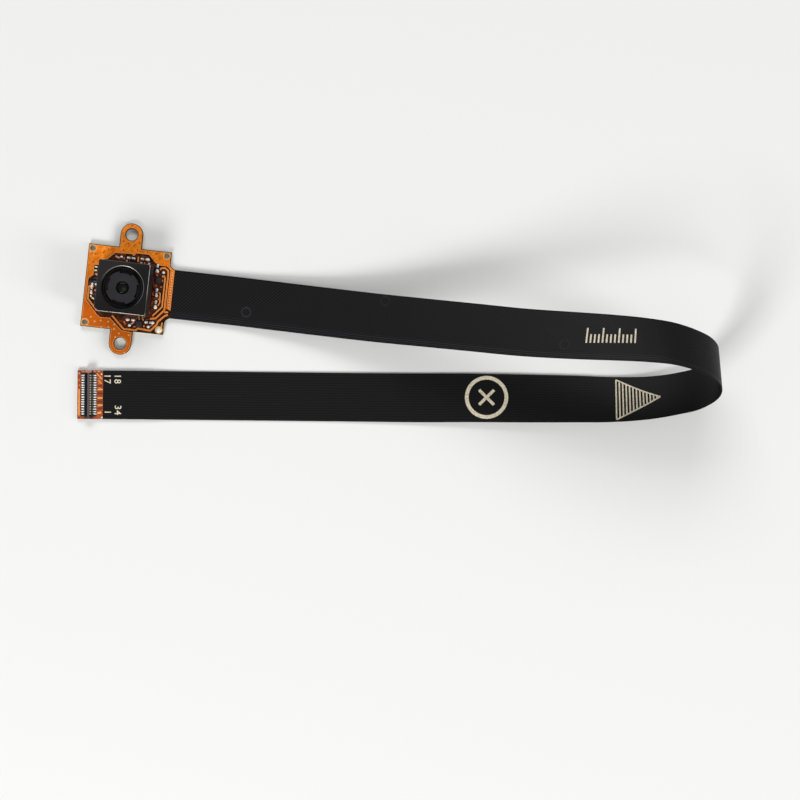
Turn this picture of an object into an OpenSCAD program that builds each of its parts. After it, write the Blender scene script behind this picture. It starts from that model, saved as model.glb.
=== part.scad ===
// Autofocus camera module on a long flex circuit, with a fine-pitch
// board-to-board connector on its far end. All sizes are in millimetres.
// The origin is the centre of the square board on the underside of its
// stiffener. +X runs out along the flex, +Y points to an ear, and +Z is the
// optical axis. The flex rises from the board, turns back over itself in a
// leaning loop and comes back flat on the surface under the board.

/* [Board] */
// Side of the square board under the camera
board_side = 13.8; // [13.6:0.1:14.6]
// Distance between the two ear holes
ear_pitch = 18.2; // [17.8:0.1:20]
// Width of each ear
ear_w = 3.74; // [3.4:0.02:4.4]
// Diameter of the ear holes
ear_hole_d = 2; // [1.6:0.1:2.4]
// Diameter of the four locating holes in the corners
corner_hole_d = 0.95; // [0.7:0.05:1.1]
// Distance from a locating hole's centre to the board's edges
corner_inset = 0.72; // [0.65:0.01:0.8]
// Radius of the fillets between the board and the neck
neck_fillet = 1.1; // [0.6:0.1:1.2]
// Thickness of the stiffener plate under the board, with its adhesive
stiffener_t = 0.45; // [0.4:0.05:0.5]
// Thickness of the flex laminate
flex_t = 0.2; // [0.15:0.01:0.2]
// Height of the copper areas above the bare laminate
copper_t = 0.04; // [0.02:0.01:0.06]
// Width of the wide supply traces
trace_w = 0.27; // [0.2:0.01:0.3]

/* [Camera body] */
// Side of the square can
can_side = 8.5; // [8.2:0.1:8.7]
// Height of the can's top above the bare board
module_h = 5.2; // [4.9:0.1:6]
// Thickness of the can's sheet
can_wall = 0.2; // [0.15:0.01:0.25]
// Radius of the can's upright corners
can_corner_r = 0.3; // [0.2:0.05:0.45]
// Size of the cut at the key corner
key_cut = 0.6; // [0.4:0.05:0.8]
// Bevel round the can's top face
can_bevel = 0.12; // [0.05:0.01:0.15]
// Diameter of the opening in the can's top
opening_d = 7; // [6.8:0.05:7.2]
// Bevel round the opening
opening_bevel = 0.15; // [0.05:0.01:0.18]
// Height of the sensor holder
holder_h = 0.95; // [0.8:0.05:1.1]
// Thickness of the actuator's base plate
base_t = 0.5; // [0.4:0.05:0.6]
// Clearance between the can's wall and what it holds
can_gap = 0.1; // [0.05:0.01:0.12]

/* [Actuator] */
// Focus travel, from the far stop to the near stop
focus_travel = 0.3; // [0.2:0.05:0.35]
// Bore of the lens carrier, which takes the barrel
carrier_bore_r = 3; // [2.95:0.01:3.05]
// Wall of the lens carrier
carrier_wall = 0.35; // [0.3:0.01:0.37]
// Radial thickness of the coil
coil_t = 0.38; // [0.25:0.01:0.4]
// Thickness of the carrier's two flanges, which hold the coil
flange_t = 0.25; // [0.15:0.05:0.3]
// Height of the base's stop ring
stop_h = 0.15; // [0.1:0.05:0.2]
// Height of the base's corner posts
post_h = 0.3; // [0.25:0.05:0.35]
// Thickness of the two leaf springs
spring_t = 0.05; // [0.03:0.01:0.05]
// Rise of a leaf spring's ring over its corner pads at rest
spring_rise = 0.1; // [0.1:0.01:0.12]
// Width of a leaf spring's arms
arm_w = 0.12; // [0.08:0.01:0.12]
// Height of the clamp frame between the upper spring and the can
clamp_h = 0.95; // [0.85:0.05:1]
// Distance from the axis to the magnets' flat inner faces
magnet_face = 4.15; // [4.13:0.01:4.4]

/* [Lens] */
// Clearance between the barrel and the carrier's bore
barrel_gap = 0.05; // [0.02:0.01:0.08]
// Depth of the barrel's front face below the can's top
front_depth = 0.4; // [0.35:0.05:0.5]
// Thickness of the barrel's front wall
front_wall = 0.4; // [0.35:0.05:0.5]
// Radius of the front face between the lugs
face_r = 2.4; // [2.2:0.05:2.5]
// Radius of the four turning lugs
lug_r = 2.72; // [2.6:0.01:2.8]
// Height of the turning lugs
lug_h = 0.4; // [0.3:0.05:0.5]
// Width of each turning lug, in degrees
lug_angle = 42; // [30:1:60]
// Radius of the front aperture
aperture_r = 1.05; // [0.9:0.01:1.1]
// Clearance between the lens elements and the barrel
lens_gap = 0.01; // [0.005:0.005:0.03]
// Thickness of the baffle sheets between the lens elements
baffle_t = 0.04; // [0.03:0.01:0.06]
// Thickness of the retaining ring
retainer_t = 0.25; // [0.2:0.05:0.3]

/* [Sensor] */
// Size of the image sensor die along X
sensor_x = 6.2; // [5.4:0.1:6.4]
// Size of the image sensor die along Y
sensor_y = 5.4; // [4.8:0.1:6.2]
// Thickness of the image sensor die
sensor_t = 0.2; // [0.15:0.05:0.3]
// Side of the infrared filter
filter_side = 5.8; // [5.4:0.1:6.2]
// Thickness of the infrared filter
filter_t = 0.21; // [0.15:0.01:0.24]

/* [Flex tail] */
// Width of the flex tail
tail_w = 8.1; // [7.9:0.1:8.2]
// Length of the bare end that carries the connector
end_l = 4.25; // [4.1:0.05:5]
// Distance from the tail's film to the connector's centre line
conn_x = 2.34; // [2.3:0.01:2.4]

/* [Connector] */
// Number of contacts in each row
contact_count = 17; // [11:1:17]
// Pitch of the contacts
contact_pitch = 0.4; // [0.35:0.01:0.4]
// Width of each contact
contact_w = 0.2; // [0.15:0.01:0.22]
// Thickness of the contact strip
contact_t = 0.08; // [0.06:0.01:0.1]
// Width of the housing
housing_w = 1.3; // [1.2:0.01:1.35]
// Width of the housing's centre spine
spine_w = 0.34; // [0.3:0.01:0.4]
// Thickness of the housing's outer walls
housing_wall = 0.14; // [0.1:0.01:0.16]
// Height of the housing
housing_h = 0.7; // [0.6:0.05:0.9]
// Length of each solder tail outside the housing
solder_tail = 0.6; // [0.4:0.05:0.65]

/* [Small parts] */
// Length of a chip capacitor or resistor
chip_l = 0.6; // [0.5:0.05:0.6]
// Width of a chip capacitor or resistor
chip_w = 0.34; // [0.28:0.01:0.36]
// Height of a chip capacitor
chip_h = 0.3; // [0.25:0.01:0.35]
// Radius of the round solder joints at the chips' ends
joint_r = 0.19; // [0.15:0.01:0.2]
// Side of the focus driver chip
driver_side = 1; // [0.8:0.05:1.1]
// Side of the regulator chip
regulator_side = 0.9; // [0.7:0.05:0.95]

/* [Hidden] */
$fn = 64;

// Centre line of the flex tail, from the board's neck to the bare end: x, y, z,
// then how far the tail leans about its own run and how far it is turned about
// Z, both in degrees. The far edge of the tail is the lower one where it leans.
TAIL_ROUTE = [
    [7.85, 0, 0.55, 0, 0], [12, 0, 0.55, 0, 0], [18, 0, 0.65, 0.5, 0.5],
    [26, -0.1, 1.2, 2, 1], [34, -0.2, 2.2, 4.5, 1.5], [42, -0.3, 4, 8, 2],
    [50, -0.3, 6.4, 12, 2.5], [58, -0.3, 9, 15, 3.5], [66, -0.3, 11.7, 18, 4.5],
    [74, 0, 14.1, 21, 5.5], [80, 0.3, 15.4, 25, 6], [85.5, 0.5, 15.9, 29, 6],
    [90, 0.4, 15.6, 32, 6], [94, -0.3, 14.4, 33, 6], [96.7, -1.2, 12.7, 33, 6],
    [98.2, -2.4, 10.7, 33, 6], [98.4, -3.6, 8.7, 33, 6], [97.6, -4.8, 6.8, 33, 6],
    [95.8, -6.1, 5.1, 33, 6], [92.6, -7.3, 3.6, 33, 6], [88.5, -8.4, 2.6, 30, 6],
    [83, -9.3, 1.9, 24, 6], [76, -10, 1.4, 17, 6], [68, -10.8, 1, 11, 6],
    [60, -11.6, 0.62, 6, 6], [50, -12.7, 0.3, 2, 6], [38, -13.9, 0.17, 0, 5.8],
    [20, -15.7, 0.12, 0, 5.8], [10, -16.7, 0.18, 0, 5.8], [4, -17.3, 0.35, 0, 5.8],
    [-1.9, -17.9, 0.35, 0, 5.8]];

// The lens elements from the front: rim radius, rim thickness, clear radius,
// front sag and back sag. A positive sag bulges out of the rim's face.
LENSES = [
    [1.5, 0.5, 1, 0.3, -0.03], [1.7, 0.3, 1, 0.02, -0.12],
    [1.9, 0.4, 1.15, -0.03, 0.05], [2.15, 0.55, 1.4, -0.1, 0.1],
    [2.4, 0.55, 1.9, -0.15, -0.12]];

board_half = board_side / 2;
can_half = can_side / 2;
neck_end = TAIL_ROUTE[0][0];
ear_x = ear_w / 2;
edge_margin = 0.12;         // bare laminate along the board's edges
fit = 0.02;                 // clearance between glued flat pieces
overcut = 0.1;              // how far a cut reaches past a face

// Heights of the stack over the underside of the stiffener.
z_board = stiffener_t + flex_t;
z_holder = z_board + holder_h;
z_base = z_holder + base_t;
z_can = z_board + module_h;
z_ceiling = z_can - can_wall;
z_post = z_base + post_h;
z_stop = z_base + stop_h;
z_magnet = z_post + spring_t;
z_upper = z_ceiling - clamp_h - spring_t;
z_flange = z_post + spring_rise + spring_t;
z_flange_top = z_upper + spring_rise;
z_front = z_can - front_depth;

carrier_r = carrier_bore_r + carrier_wall;
coil_gap = 0.02;
flange_r = carrier_r + coil_gap + coil_t;
barrel_r = carrier_bore_r - barrel_gap;
inner_inset = can_wall + can_gap;
corner_r = 4.35;            // inner limit of what stands in the can's corners
arm_r = 4;                  // inner radius of the spring arms
pad_r = 4.3;                // inner limit of the springs' corner pads

// The tail's sweep.

route_last = len(TAIL_ROUTE) - 1;
long_step = 7;              // route steps longer than this take three rings
function place(p) = [p[0], p[1], p[2]];
function chord(i) = norm(place(TAIL_ROUTE[i + 1]) - place(TAIL_ROUTE[i]));
function run(i) = (TAIL_ROUTE[i + 1] - TAIL_ROUTE[i]) / chord(i);
function slope(i) = i == 0 ? run(0) : i == route_last ? run(i - 1)
    : (run(i - 1) * chord(i) + run(i) * chord(i - 1)) / (chord(i - 1) + chord(i));
function route_at(i, t) = TAIL_ROUTE[i] * (2 * t * t * t - 3 * t * t + 1)
    + slope(i) * chord(i) * (t * t * t - 2 * t * t + t)
    + TAIL_ROUTE[i + 1] * (3 * t * t - 2 * t * t * t)
    + slope(i + 1) * chord(i) * (t * t * t - t * t);
function route_run(i, t) = place(TAIL_ROUTE[i + 1] - TAIL_ROUTE[i]) * (6 * t - 6 * t * t)
    + place(slope(i)) * chord(i) * (3 * t * t - 4 * t + 1)
    + place(slope(i + 1)) * chord(i) * (3 * t * t - 2 * t);
function unit(v) = v / norm(v);
function across(p, along) =
    let (flat = [-sin(p[4]) * cos(p[3]), cos(p[4]) * cos(p[3]), -sin(p[3])])
    unit(flat - (flat * along) * along);
function ring(p, along, section) =
    let (side = across(p, along), up = cross(along, side))
    [for (q = section) place(p) + side * q[0] + up * q[1]];
function rings_in(i) = chord(i) > long_step ? 3 : 2;
function flat_section(w, t) =
    let (a = w / 2, h = t / 2, e = t / 5)
    [[a, e - h], [a, h - e], [a - e, h], [e - a, h],
     [-a, h - e], [-a, e - h], [e - a, -h], [a - e, -h]];

tail_stops = concat(
    [for (i = [0:route_last - 1]) for (k = [0:rings_in(i) - 1]) [i, k / rings_in(i)]],
    [[route_last - 1, 1]]);
end_point = TAIL_ROUTE[route_last];
end_turn = atan2(TAIL_ROUTE[route_last - 1][1] - end_point[1],
    TAIL_ROUTE[route_last - 1][0] - end_point[0]);
z_end = end_point[2] + flex_t / 2;      // top of the bare end's laminate
z_end_under = end_point[2] - flex_t / 2;

// Shapes used by several pieces.

module rounded_square(side, r) {
    square([side, side - 2 * r], center = true);
    square([side - 2 * r, side], center = true);
    for (x = [-1, 1], y = [-1, 1])
        translate([x * (side / 2 - r), y * (side / 2 - r)]) circle(r, $fn = 32);
}

// The can's outline, drawn in by an inset, with its key corner cut.
module can_outline(inset = 0) {
    difference() {
        rounded_square(can_side - 2 * inset, can_corner_r);
        translate([inset - can_half, inset - can_half])
            rotate(45) square([key_cut * sqrt(2) - 2 * (sqrt(2) - 1) * inset, can_side], center = true);
    }
}

// A flat ring sector about the optical axis.
module sector(r_in, r_out, from, to) {
    difference() {
        intersection() {
            circle(r_out);
            polygon(concat([[0, 0]], [for (a = [from:(to - from) / 4:to])
                2 * r_out * [cos(a), sin(a)]]));
        }
        circle(r_in);
    }
}

module washer(r_in, r_out, h) {
    difference() {
        cylinder(r = r_out, h = h);
        translate([0, 0, -overcut]) cylinder(r = r_in, h = h + 2 * overcut);
    }
}

// A copper track along a list of points, with mitred corners and square ends.
function mitre(points, i, h) =
    let (last = len(points) - 1, before = max(i, 1), after = min(i, last - 1),
        run = unit(points[before] - points[before - 1])
            + unit(points[after + 1] - points[after]))
    points[i] + [-run[1], run[0]] * 2 * h / (run * run);
module track(points, w) {
    last = len(points) - 1;
    polygon(concat([for (i = [0:last]) mitre(points, i, w / 2)],
        [for (i = [0:last]) mitre(points, last - i, -w / 2)]));
}

module board_outline() {
    difference() {
        union() {
            square(board_side, center = true);
            for (side = [-1, 1]) {
                translate([-ear_x, side > 0 ? 0 : -ear_pitch / 2])
                    square([ear_w, ear_pitch / 2]);
                translate([0, side * ear_pitch / 2]) circle(ear_x);
            }
        }
        for (side = [-1, 1]) translate([0, side * ear_pitch / 2]) circle(d = ear_hole_d);
        for (x = [-1, 1], y = [-1, 1])
            translate([x, y] * (board_half - corner_inset)) circle(d = corner_hole_d, $fn = 32);
    }
}

// The neck that carries the tail out of the board, with a fillet on each side.
module neck_outline(inset = 0) {
    lap = overcut + inset;
    reach = min(neck_fillet, neck_end - board_half) - inset;
    translate([0, inset - tail_w / 2]) square([neck_end - inset, tail_w - 2 * inset]);
    for (side = [-1, 1]) difference() {
        translate([board_half - lap, side > 0 ? tail_w / 2 - lap : -tail_w / 2 - neck_fillet])
            square([lap + reach, lap + neck_fillet]);
        translate([board_half + neck_fillet, side * (tail_w / 2 + neck_fillet)])
            circle(neck_fillet + inset, $fn = 48);
    }
}

// The window in the copper round the camera, open along the board's bottom
// edge and behind the neck. Each point hangs on the can's or the board's side.
module copper_window() {
    c = can_half;
    b = board_half;
    polygon([[-c - 0.1, c + 0.25], [0.65 - c, c + 0.35], [1.85 - c, b - 1.1],
        [0.4, b - 1], [0.75, b - 1.3], [1.1, b - 0.8], [c - 1.05, b - 0.8],
        [c - 0.25, b - 1.6], [c + 0.1, c + 0.65], [c + 1.05, c + 0.25],
        [b - 0.5, c + 0.25], [b + 0.15, c - 0.35], [b + 0.15, 1.8 - c],
        [b + 0.7, 1.5 - c], [b + 3, 1.5 - c], [b + 3, -b - 1], [0, -b - 1], [0, -b],
        [2.15 - c, -c - 0.8], [0.45 - c, -c - 0.85], [-c - 0.15, -c - 0.4],
        [0.5 - b, 1.8 - c], [0.5 - b, 1], [0.95 - b, 1.45], [1.25 - b, 1.6],
        [1.25 - b, c - 0.75], [-c - 0.1, c - 0.75]]);
}

// Supply traces that cross the window.
module supply_traces() {
    c = can_half;
    b = board_half;
    y_low = -2.8;
    track([[c + 1.05, c - 0.45], [c + 1.25, c - 0.15], [b - 0.8, c - 0.05],
        [b - 0.25, c - 0.45], [b - 0.15, c - 0.95], [b - 0.15, y_low],
        [c + 1.2, y_low - 1.5], [c + 0.3, y_low - 1.7]], trace_w);
    track([[b - 1.15, c - 1.5], [b - 0.8, c - 1.4], [b - 0.6, c - 1.75],
        [b - 0.6, y_low + 0.5], [c + 0.65, y_low - 1.15]], trace_w - 0.05);
    track([[c + 1.25, 0], [c + 1.5, -0.1], [c + 1.6, -1.6], [c + 1.35, -2.2]], trace_w - 0.1);
    track([[b - 0.15, y_low - 0.3], [b + 0.5, y_low - 0.3]], trace_w);
    track([[b + 0.5, y_low - 0.7], [b, y_low - 0.95], [b - 1, y_low - 2],
        [b - 1.2, y_low - 2.6], [b - 2.1, 0.45 - b], [2.7, 0.6 - b], [2.4, 0.3 - b],
        [0.35, 0.25 - b], [2.45 - c, -c - 0.4]], trace_w);
    track([[b - 0.3, y_low - 2.1], [b - 0.35, 1.1 - b], [b - corner_inset, corner_inset - b]],
        trace_w - 0.05);
    track([[1.1 - b, 0], [0.75 - b, -0.25], [0.75 - b, 2 - c],
        [-c - 0.65, 0.7 - c], [-c - 0.2, 0.2 - c]], trace_w);
    track([[1.5, c + 1.3], [1.5, c + 0.45]], trace_w - 0.05);
}

// The board and its square camera.

module board_stiffener() {
    color("silver") linear_extrude(stiffener_t) board_outline();
}

module flex_board() {
    color("darkorange") translate([0, 0, stiffener_t]) {
        linear_extrude(flex_t) {
            board_outline();
            difference() {
                neck_outline();
                square([2 * board_half - 2 * fit, board_side], center = true);
            }
        }
        translate([0, 0, flex_t]) linear_extrude(copper_t) difference() {
            union() {
                difference() {
                    union() {
                        square(board_side - 2 * edge_margin, center = true);
                        for (side = [-1, 1]) translate([0, side * ear_pitch / 2])
                            circle(ear_x - edge_margin);
                        square([ear_w - 2 * edge_margin, ear_pitch], center = true);
                        neck_outline(edge_margin);
                    }
                    copper_window();
                }
                supply_traces();
            }
            for (side = [-1, 1]) translate([0, side * ear_pitch / 2])
                circle(d = ear_hole_d + 2 * edge_margin);
            for (x = [-1, 1], y = [-1, 1])
                translate([x, y] * (board_half - corner_inset))
                    circle(d = corner_hole_d + edge_margin, $fn = 32);
            joint_places() circle(joint_r + fit, $fn = 24);
            glue_places() circle(glue_r + fit);
        }
    }
}

module image_sensor() {
    color("darkslategray") translate([0, 0, z_board + sensor_t / 2])
        cube([sensor_x, sensor_y, sensor_t], center = true);
}

bond_room = 0.35;           // room for bond wires round the sensor
sensor_frame = 0.7;         // how far the window stands in from the sensor's edge
holder_ledge_t = 0.15;      // thickness of the ledge under the filter

// The moulded frame that stands round the sensor and carries the filter.
module sensor_holder() {
    pocket = filter_side + 2 * fit;
    ledge_z = holder_h - filter_t - fit;
    color("black") translate([0, 0, z_board]) difference() {
        linear_extrude(holder_h) can_outline();
        translate([0, 0, -overcut]) linear_extrude(ledge_z - holder_ledge_t + overcut)
            square([sensor_x + 2 * bond_room, sensor_y + 2 * bond_room], center = true);
        linear_extrude(holder_h)
            square([sensor_x, sensor_y] - 2 * sensor_frame * [1, 1], center = true);
        translate([0, 0, ledge_z]) linear_extrude(holder_h)
            square(pocket, center = true);
        for (i = [0, 1]) translate([terminal_x(i), -can_half, holder_h / 2])
            cube([terminal_w + 2 * fit, 2 * terminal_t, holder_h + overcut], center = true);
    }
}

module infrared_filter() {
    color("lightblue") translate([0, 0, z_holder - fit - filter_t / 2])
        cube([filter_side, filter_side, filter_t], center = true);
}

// The actuator's moulded base, with its stop ring and four corner posts.
module actuator_base() {
    color("dimgray") difference() {
        union() {
            translate([0, 0, z_holder]) linear_extrude(base_t) can_outline();
            translate([0, 0, z_base]) cylinder(r = carrier_r, h = stop_h);
            translate([0, 0, z_base]) linear_extrude(post_h) difference() {
                can_outline(inner_inset);
                circle(corner_r);
            }
        }
        translate([0, 0, z_holder - overcut])
            cylinder(r = carrier_bore_r + 0.05, h = base_t + stop_h + 2 * overcut);
        for (i = [0, 1]) translate([terminal_x(i), -can_half, z_holder + base_t / 2])
            cube([terminal_w + 2 * fit, 2 * terminal_t, base_t + overcut], center = true);
    }
}

terminal_w = 0.3;
terminal_t = 0.12;
function terminal_x(i) = 2.68 + 0.6 * i;

// Two bent pins that carry the coil's current down to the board.
module actuator_terminals() {
    foot = 0.45;
    color("goldenrod") for (i = [0, 1])
        translate([terminal_x(i) + terminal_w / 2, -can_half, z_board]) rotate([90, 0, -90])
            linear_extrude(terminal_w) polygon([[-terminal_t + fit, 0], [foot, 0],
                [foot, terminal_t], [0, terminal_t], [0, holder_h + base_t - fit],
                [-terminal_t + fit, holder_h + base_t - fit]]);
}

// A leaf spring: four corner pads below, four arms, and a ring above that
// carries the lens carrier.
module leaf_spring() {
    arm_from = 24;
    arm_to = 66;
    tab = 6;
    land = 0.2;
    lap = 0.1;
    linear_extrude(spring_t) intersection() {
        can_outline(inner_inset);
        union() {
            difference() {
                square(can_side, center = true);
                circle(pad_r);
            }
            for (q = [0:3]) rotate(90 * q) sector(arm_r, pad_r + land, arm_to - tab, arm_to);
        }
    }
    translate([0, 0, spring_t]) linear_extrude(spring_rise - spring_t)
        for (q = [0:3]) rotate(90 * q) sector(arm_r, arm_r + arm_w, arm_from, arm_to);
    translate([0, 0, spring_rise]) linear_extrude(spring_t) {
        difference() {
            circle(flange_r);
            circle(carrier_r + 0.05);
        }
        for (q = [0:3]) rotate(90 * q)
            sector(flange_r - lap, arm_r + arm_w, arm_from, arm_from + tab);
    }
}

module lower_leaf_spring() {
    color("peru") translate([0, 0, z_post]) leaf_spring();
}

module upper_leaf_spring() {
    color("peru") translate([0, 0, z_upper]) leaf_spring();
}

// Four corner magnets with flat faces towards the coil.
module magnets() {
    reach = magnet_face * sqrt(2);
    side = can_half - inner_inset;
    color("gray") translate([0, 0, z_magnet]) linear_extrude(z_upper - z_magnet)
        intersection() {
            can_outline(inner_inset);
            for (q = [0:3]) rotate(90 * q)
                polygon([[side + 1, reach - side - 1], [side + 1, side + 1], [reach - side - 1, side + 1]]);
        }
}

// The moulded frame that clamps the upper spring under the can's top. The rim
// of its upper half is the near stop of the focus travel.
module spring_clamp() {
    z_rim = z_flange_top + spring_t + focus_travel + fit;
    color("dimgray") {
        translate([0, 0, z_upper + spring_t]) linear_extrude(z_rim - z_upper - spring_t)
            difference() {
                can_outline(inner_inset);
                circle(corner_r);
            }
        translate([0, 0, z_rim]) linear_extrude(z_ceiling - z_rim) difference() {
            can_outline(inner_inset);
            circle(d = opening_d + 2 * fit);
        }
    }
}

// The deep-drawn cover with its bevelled top and round opening.
module actuator_can() {
    h = z_can - z_base;
    color("black") translate([0, 0, z_base]) difference() {
        union() {
            linear_extrude(h - can_bevel) can_outline();
            hull() {
                translate([0, 0, h - can_bevel - 0.01]) linear_extrude(0.01) can_outline();
                translate([0, 0, h - 0.01]) linear_extrude(0.01) can_outline(can_bevel);
            }
        }
        translate([0, 0, -overcut]) linear_extrude(h - can_wall + overcut)
            can_outline(can_wall);
        cylinder(d = opening_d, h = h + overcut, $fn = 96);
        translate([0, 0, h - opening_bevel])
            cylinder(d1 = opening_d, d2 = opening_d + 2 * opening_bevel + 0.02,
                h = opening_bevel + 0.01, $fn = 96);
    }
}

// The moving lens group.

module lens_carrier() {
    neck_h = z_front - lug_h - 0.05 - z_stop;
    color("black") difference() {
        union() {
            translate([0, 0, z_stop]) cylinder(r = carrier_r, h = neck_h);
            translate([0, 0, z_flange]) cylinder(r = flange_r, h = flange_t);
            translate([0, 0, z_flange_top - flange_t]) cylinder(r = flange_r, h = flange_t);
        }
        translate([0, 0, z_stop - overcut])
            cylinder(r = carrier_bore_r, h = neck_h + 2 * overcut);
    }
}

module voice_coil() {
    color("chocolate") translate([0, 0, z_flange + flange_t])
        washer(carrier_r + coil_gap, flange_r, z_flange_top - z_flange - 2 * flange_t);
}

function lens_top(i) = i == 0 ? z_front - front_wall
    : lens_top(i - 1) - LENSES[i - 1][1] - baffle_t;
lens_last = len(LENSES) - 1;
z_retainer = lens_top(lens_last) - LENSES[lens_last][1] - retainer_t;
barrel_foot = 0.15;         // how far the barrel's wall reaches past the retainer

// The moulded barrel: four turning lugs in front, stepped bores behind.
module lens_barrel() {
    z_foot = z_retainer - barrel_foot;
    color("dimgray") difference() {
        union() {
            translate([0, 0, z_foot]) cylinder(r = barrel_r, h = z_front - lug_h - z_foot);
            translate([0, 0, z_front - lug_h - fit]) {
                cylinder(r = face_r, h = lug_h + fit);
                linear_extrude(lug_h + fit) for (q = [0:3]) rotate(37 + 90 * q)
                    sector(1.5, lug_r, -lug_angle / 2, lug_angle / 2);
            }
        }
        translate([0, 0, z_front - front_wall - overcut])
            cylinder(r = aperture_r - 0.05, h = front_wall + 2 * overcut);
        translate([0, 0, z_front - 0.15])
            cylinder(r1 = aperture_r - 0.05, r2 = aperture_r + 0.1, h = 0.151);
        for (i = [0:lens_last]) translate([0, 0, z_foot - overcut])
            cylinder(r = LENSES[i][0] + lens_gap,
                h = lens_top(i) + (i > 0 ? baffle_t : 0) - z_foot + overcut);
    }
}

// A spherical cap on the plane z = 0, standing up from its rim.
module cap(r, sag) {
    ball = (r * r + sag * sag) / (2 * sag);
    intersection() {
        translate([0, 0, sag - ball]) sphere(ball, $fn = 128);
        cylinder(r = r + 0.001, h = sag + overcut);
    }
}

module lens_element(i) {
    e = LENSES[i];
    translate([0, 0, lens_top(i)]) difference() {
        union() {
            translate([0, 0, -e[1]]) cylinder(r = e[0], h = e[1]);
            if (e[3] > 0) cap(e[2], e[3]);
            if (e[4] > 0) translate([0, 0, -e[1]]) mirror([0, 0, 1]) cap(e[2], e[4]);
        }
        if (e[3] < 0) mirror([0, 0, 1]) cap(e[2], -e[3]);
        if (e[4] < 0) translate([0, 0, -e[1]]) cap(e[2], -e[4]);
    }
}

module front_lens() { color("lightcyan") lens_element(0); }
module second_lens() { color("lightcyan") lens_element(1); }
module third_lens() { color("lightcyan") lens_element(2); }
module fourth_lens() { color("lightcyan") lens_element(3); }
module rear_lens() { color("lightcyan") lens_element(4); }

module baffle_sheets() {
    color("black") for (i = [1:lens_last]) translate([0, 0, lens_top(i)])
        washer(LENSES[i - 1][2], LENSES[i][0], baffle_t);
}

module lens_retainer() {
    color("black") translate([0, 0, z_retainer])
        washer(LENSES[lens_last][2] + 0.1, LENSES[lens_last][0], retainer_t);
}

// The small parts soldered round the can: x, y and turn of each.

CAPACITORS = [
    [0.3, can_half + 0.95, 0], [2.6, can_half + 1, 0],
    [can_half + 0.9, -0.02, 90], [can_half + 0.95, -2, 90],
    [-can_half - 1.4, -0.72, 90]];
RESISTORS = [
    [can_half + 0.62, can_half - 0.26, 90], [1.32, -can_half - 0.74, 0],
    [can_half + 0.15, -can_half - 0.86, 0]];
resistor_h = 0.22;

module chips(places, h) {
    for (p = places) translate([p[0], p[1], z_board]) rotate(p[2])
        translate([0, 0, h / 2]) cube([chip_l, chip_w, h], center = true);
}

module chip_capacitors() {
    color("saddlebrown") chips(CAPACITORS, chip_h);
}

module chip_resistors() {
    color("black") chips(RESISTORS, resistor_h);
}

// A round solder joint: a low dome on the board.
module dome(r, h) {
    ball = (r * r + h * h) / (2 * h);
    intersection() {
        translate([0, 0, h - ball]) sphere(ball, $fn = 48);
        cylinder(r = r + 0.001, h = h + overcut, $fn = 48);
    }
}

// Joints that stand by themselves, on bare pads.
LONE_JOINTS = [
    [-1.3, can_half + 0.97], [can_half + 1.68, can_half - 0.85],
    [can_half + 0.9, -can_half - 0.83], [can_half + 0.12, -can_half - 1.6],
    [1.25, -can_half - 1.65], [-can_half - 1.38, 0.28], [-can_half - 0.72, 0.3]];

// Puts a shape at both ends of every chip and at every lone joint.
module joint_places() {
    for (p = concat(CAPACITORS, RESISTORS), side = [-1, 1])
        translate([p[0], p[1]]) rotate(p[2])
            translate([side * (chip_l / 2 + joint_r + fit), 0]) children();
    for (p = LONE_JOINTS) translate(p) children();
}

module solder_joints() {
    color("white") translate([0, 0, z_board]) joint_places() dome(joint_r, 0.15);
}

module driver_chip() {
    color("black") translate([can_half - 1.45, -can_half - 1.3, z_board])
        translate([0, 0, 0.2]) cube([driver_side, driver_side, 0.4], center = true);
}

module regulator_chip() {
    color("black") translate([can_half + 0.95, 2, z_board])
        translate([0, 0, 0.18]) cube([regulator_side, regulator_side, 0.36], center = true);
}

glue_r = 0.55;

// Puts a shape at the two middles of the glue.
module glue_places() {
    for (x = [0.65, 1.3]) translate([-can_half - x, 1.12]) children();
}

// A dab of black epoxy beside the can.
module edge_glue() {
    color("black") translate([0, 0, z_board]) glue_places() dome(glue_r, 0.3);
}

// Solder that fills one locating hole and stands over it, with a small dimple.
module corner_solder() {
    depth = z_board;
    color("whitesmoke") translate([board_half - corner_inset, corner_inset - board_half, 0])
        difference() {
            union() {
                cylinder(d = corner_hole_d - 2 * fit, h = depth, $fn = 48);
                translate([0, 0, depth]) dome(corner_hole_d / 2 - fit, 0.18);
            }
            translate([0, 0, depth + 0.3]) sphere(0.2, $fn = 32);
        }
}

// The flex tail: one flat strip swept along its route.
module flex_tail() {
    section = flat_section(tail_w, flex_t);
    n = len(section);
    rings = [for (s = tail_stops)
        ring(route_at(s[0], s[1]), unit(route_run(s[0], s[1])), section)];
    last = len(rings) - 1;
    // Both flat sides are split along the same diagonals, so that a twisted
    // stretch keeps its full thickness.
    color("black") polyhedron(
        points = [for (r = rings) for (p = r) p],
        faces = concat(
            [[for (k = [0:n - 1]) k]],
            [for (j = [0:last - 1]) for (k = [0:n - 1]) for (f = split_quad(j, k, n)) f],
            [[for (k = [0:n - 1]) last * n + n - 1 - k]]));
}

function split_quad(j, k, n) =
    let (a = j * n + k, b = j * n + (k + 1) % n, c = a + n, d = b + n)
    k < n / 2 ? [[a, c, b], [b, c, d]] : [[a, c, d], [a, d, b]];

// The connector end, drawn about the end of the tail with +X along the tail.

contact_x = housing_w / 2 + solder_tail;
first_contact = -(contact_count - 1) / 2 * contact_pitch;

module at_end() {
    translate([end_point[0], end_point[1], 0]) rotate(end_turn) children();
}

module end_outline() {
    translate([-end_l, -tail_w / 2]) square([end_l, tail_w]);
}

module end_stiffener() {
    color("silver") at_end() linear_extrude(z_end_under) end_outline();
}

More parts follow.
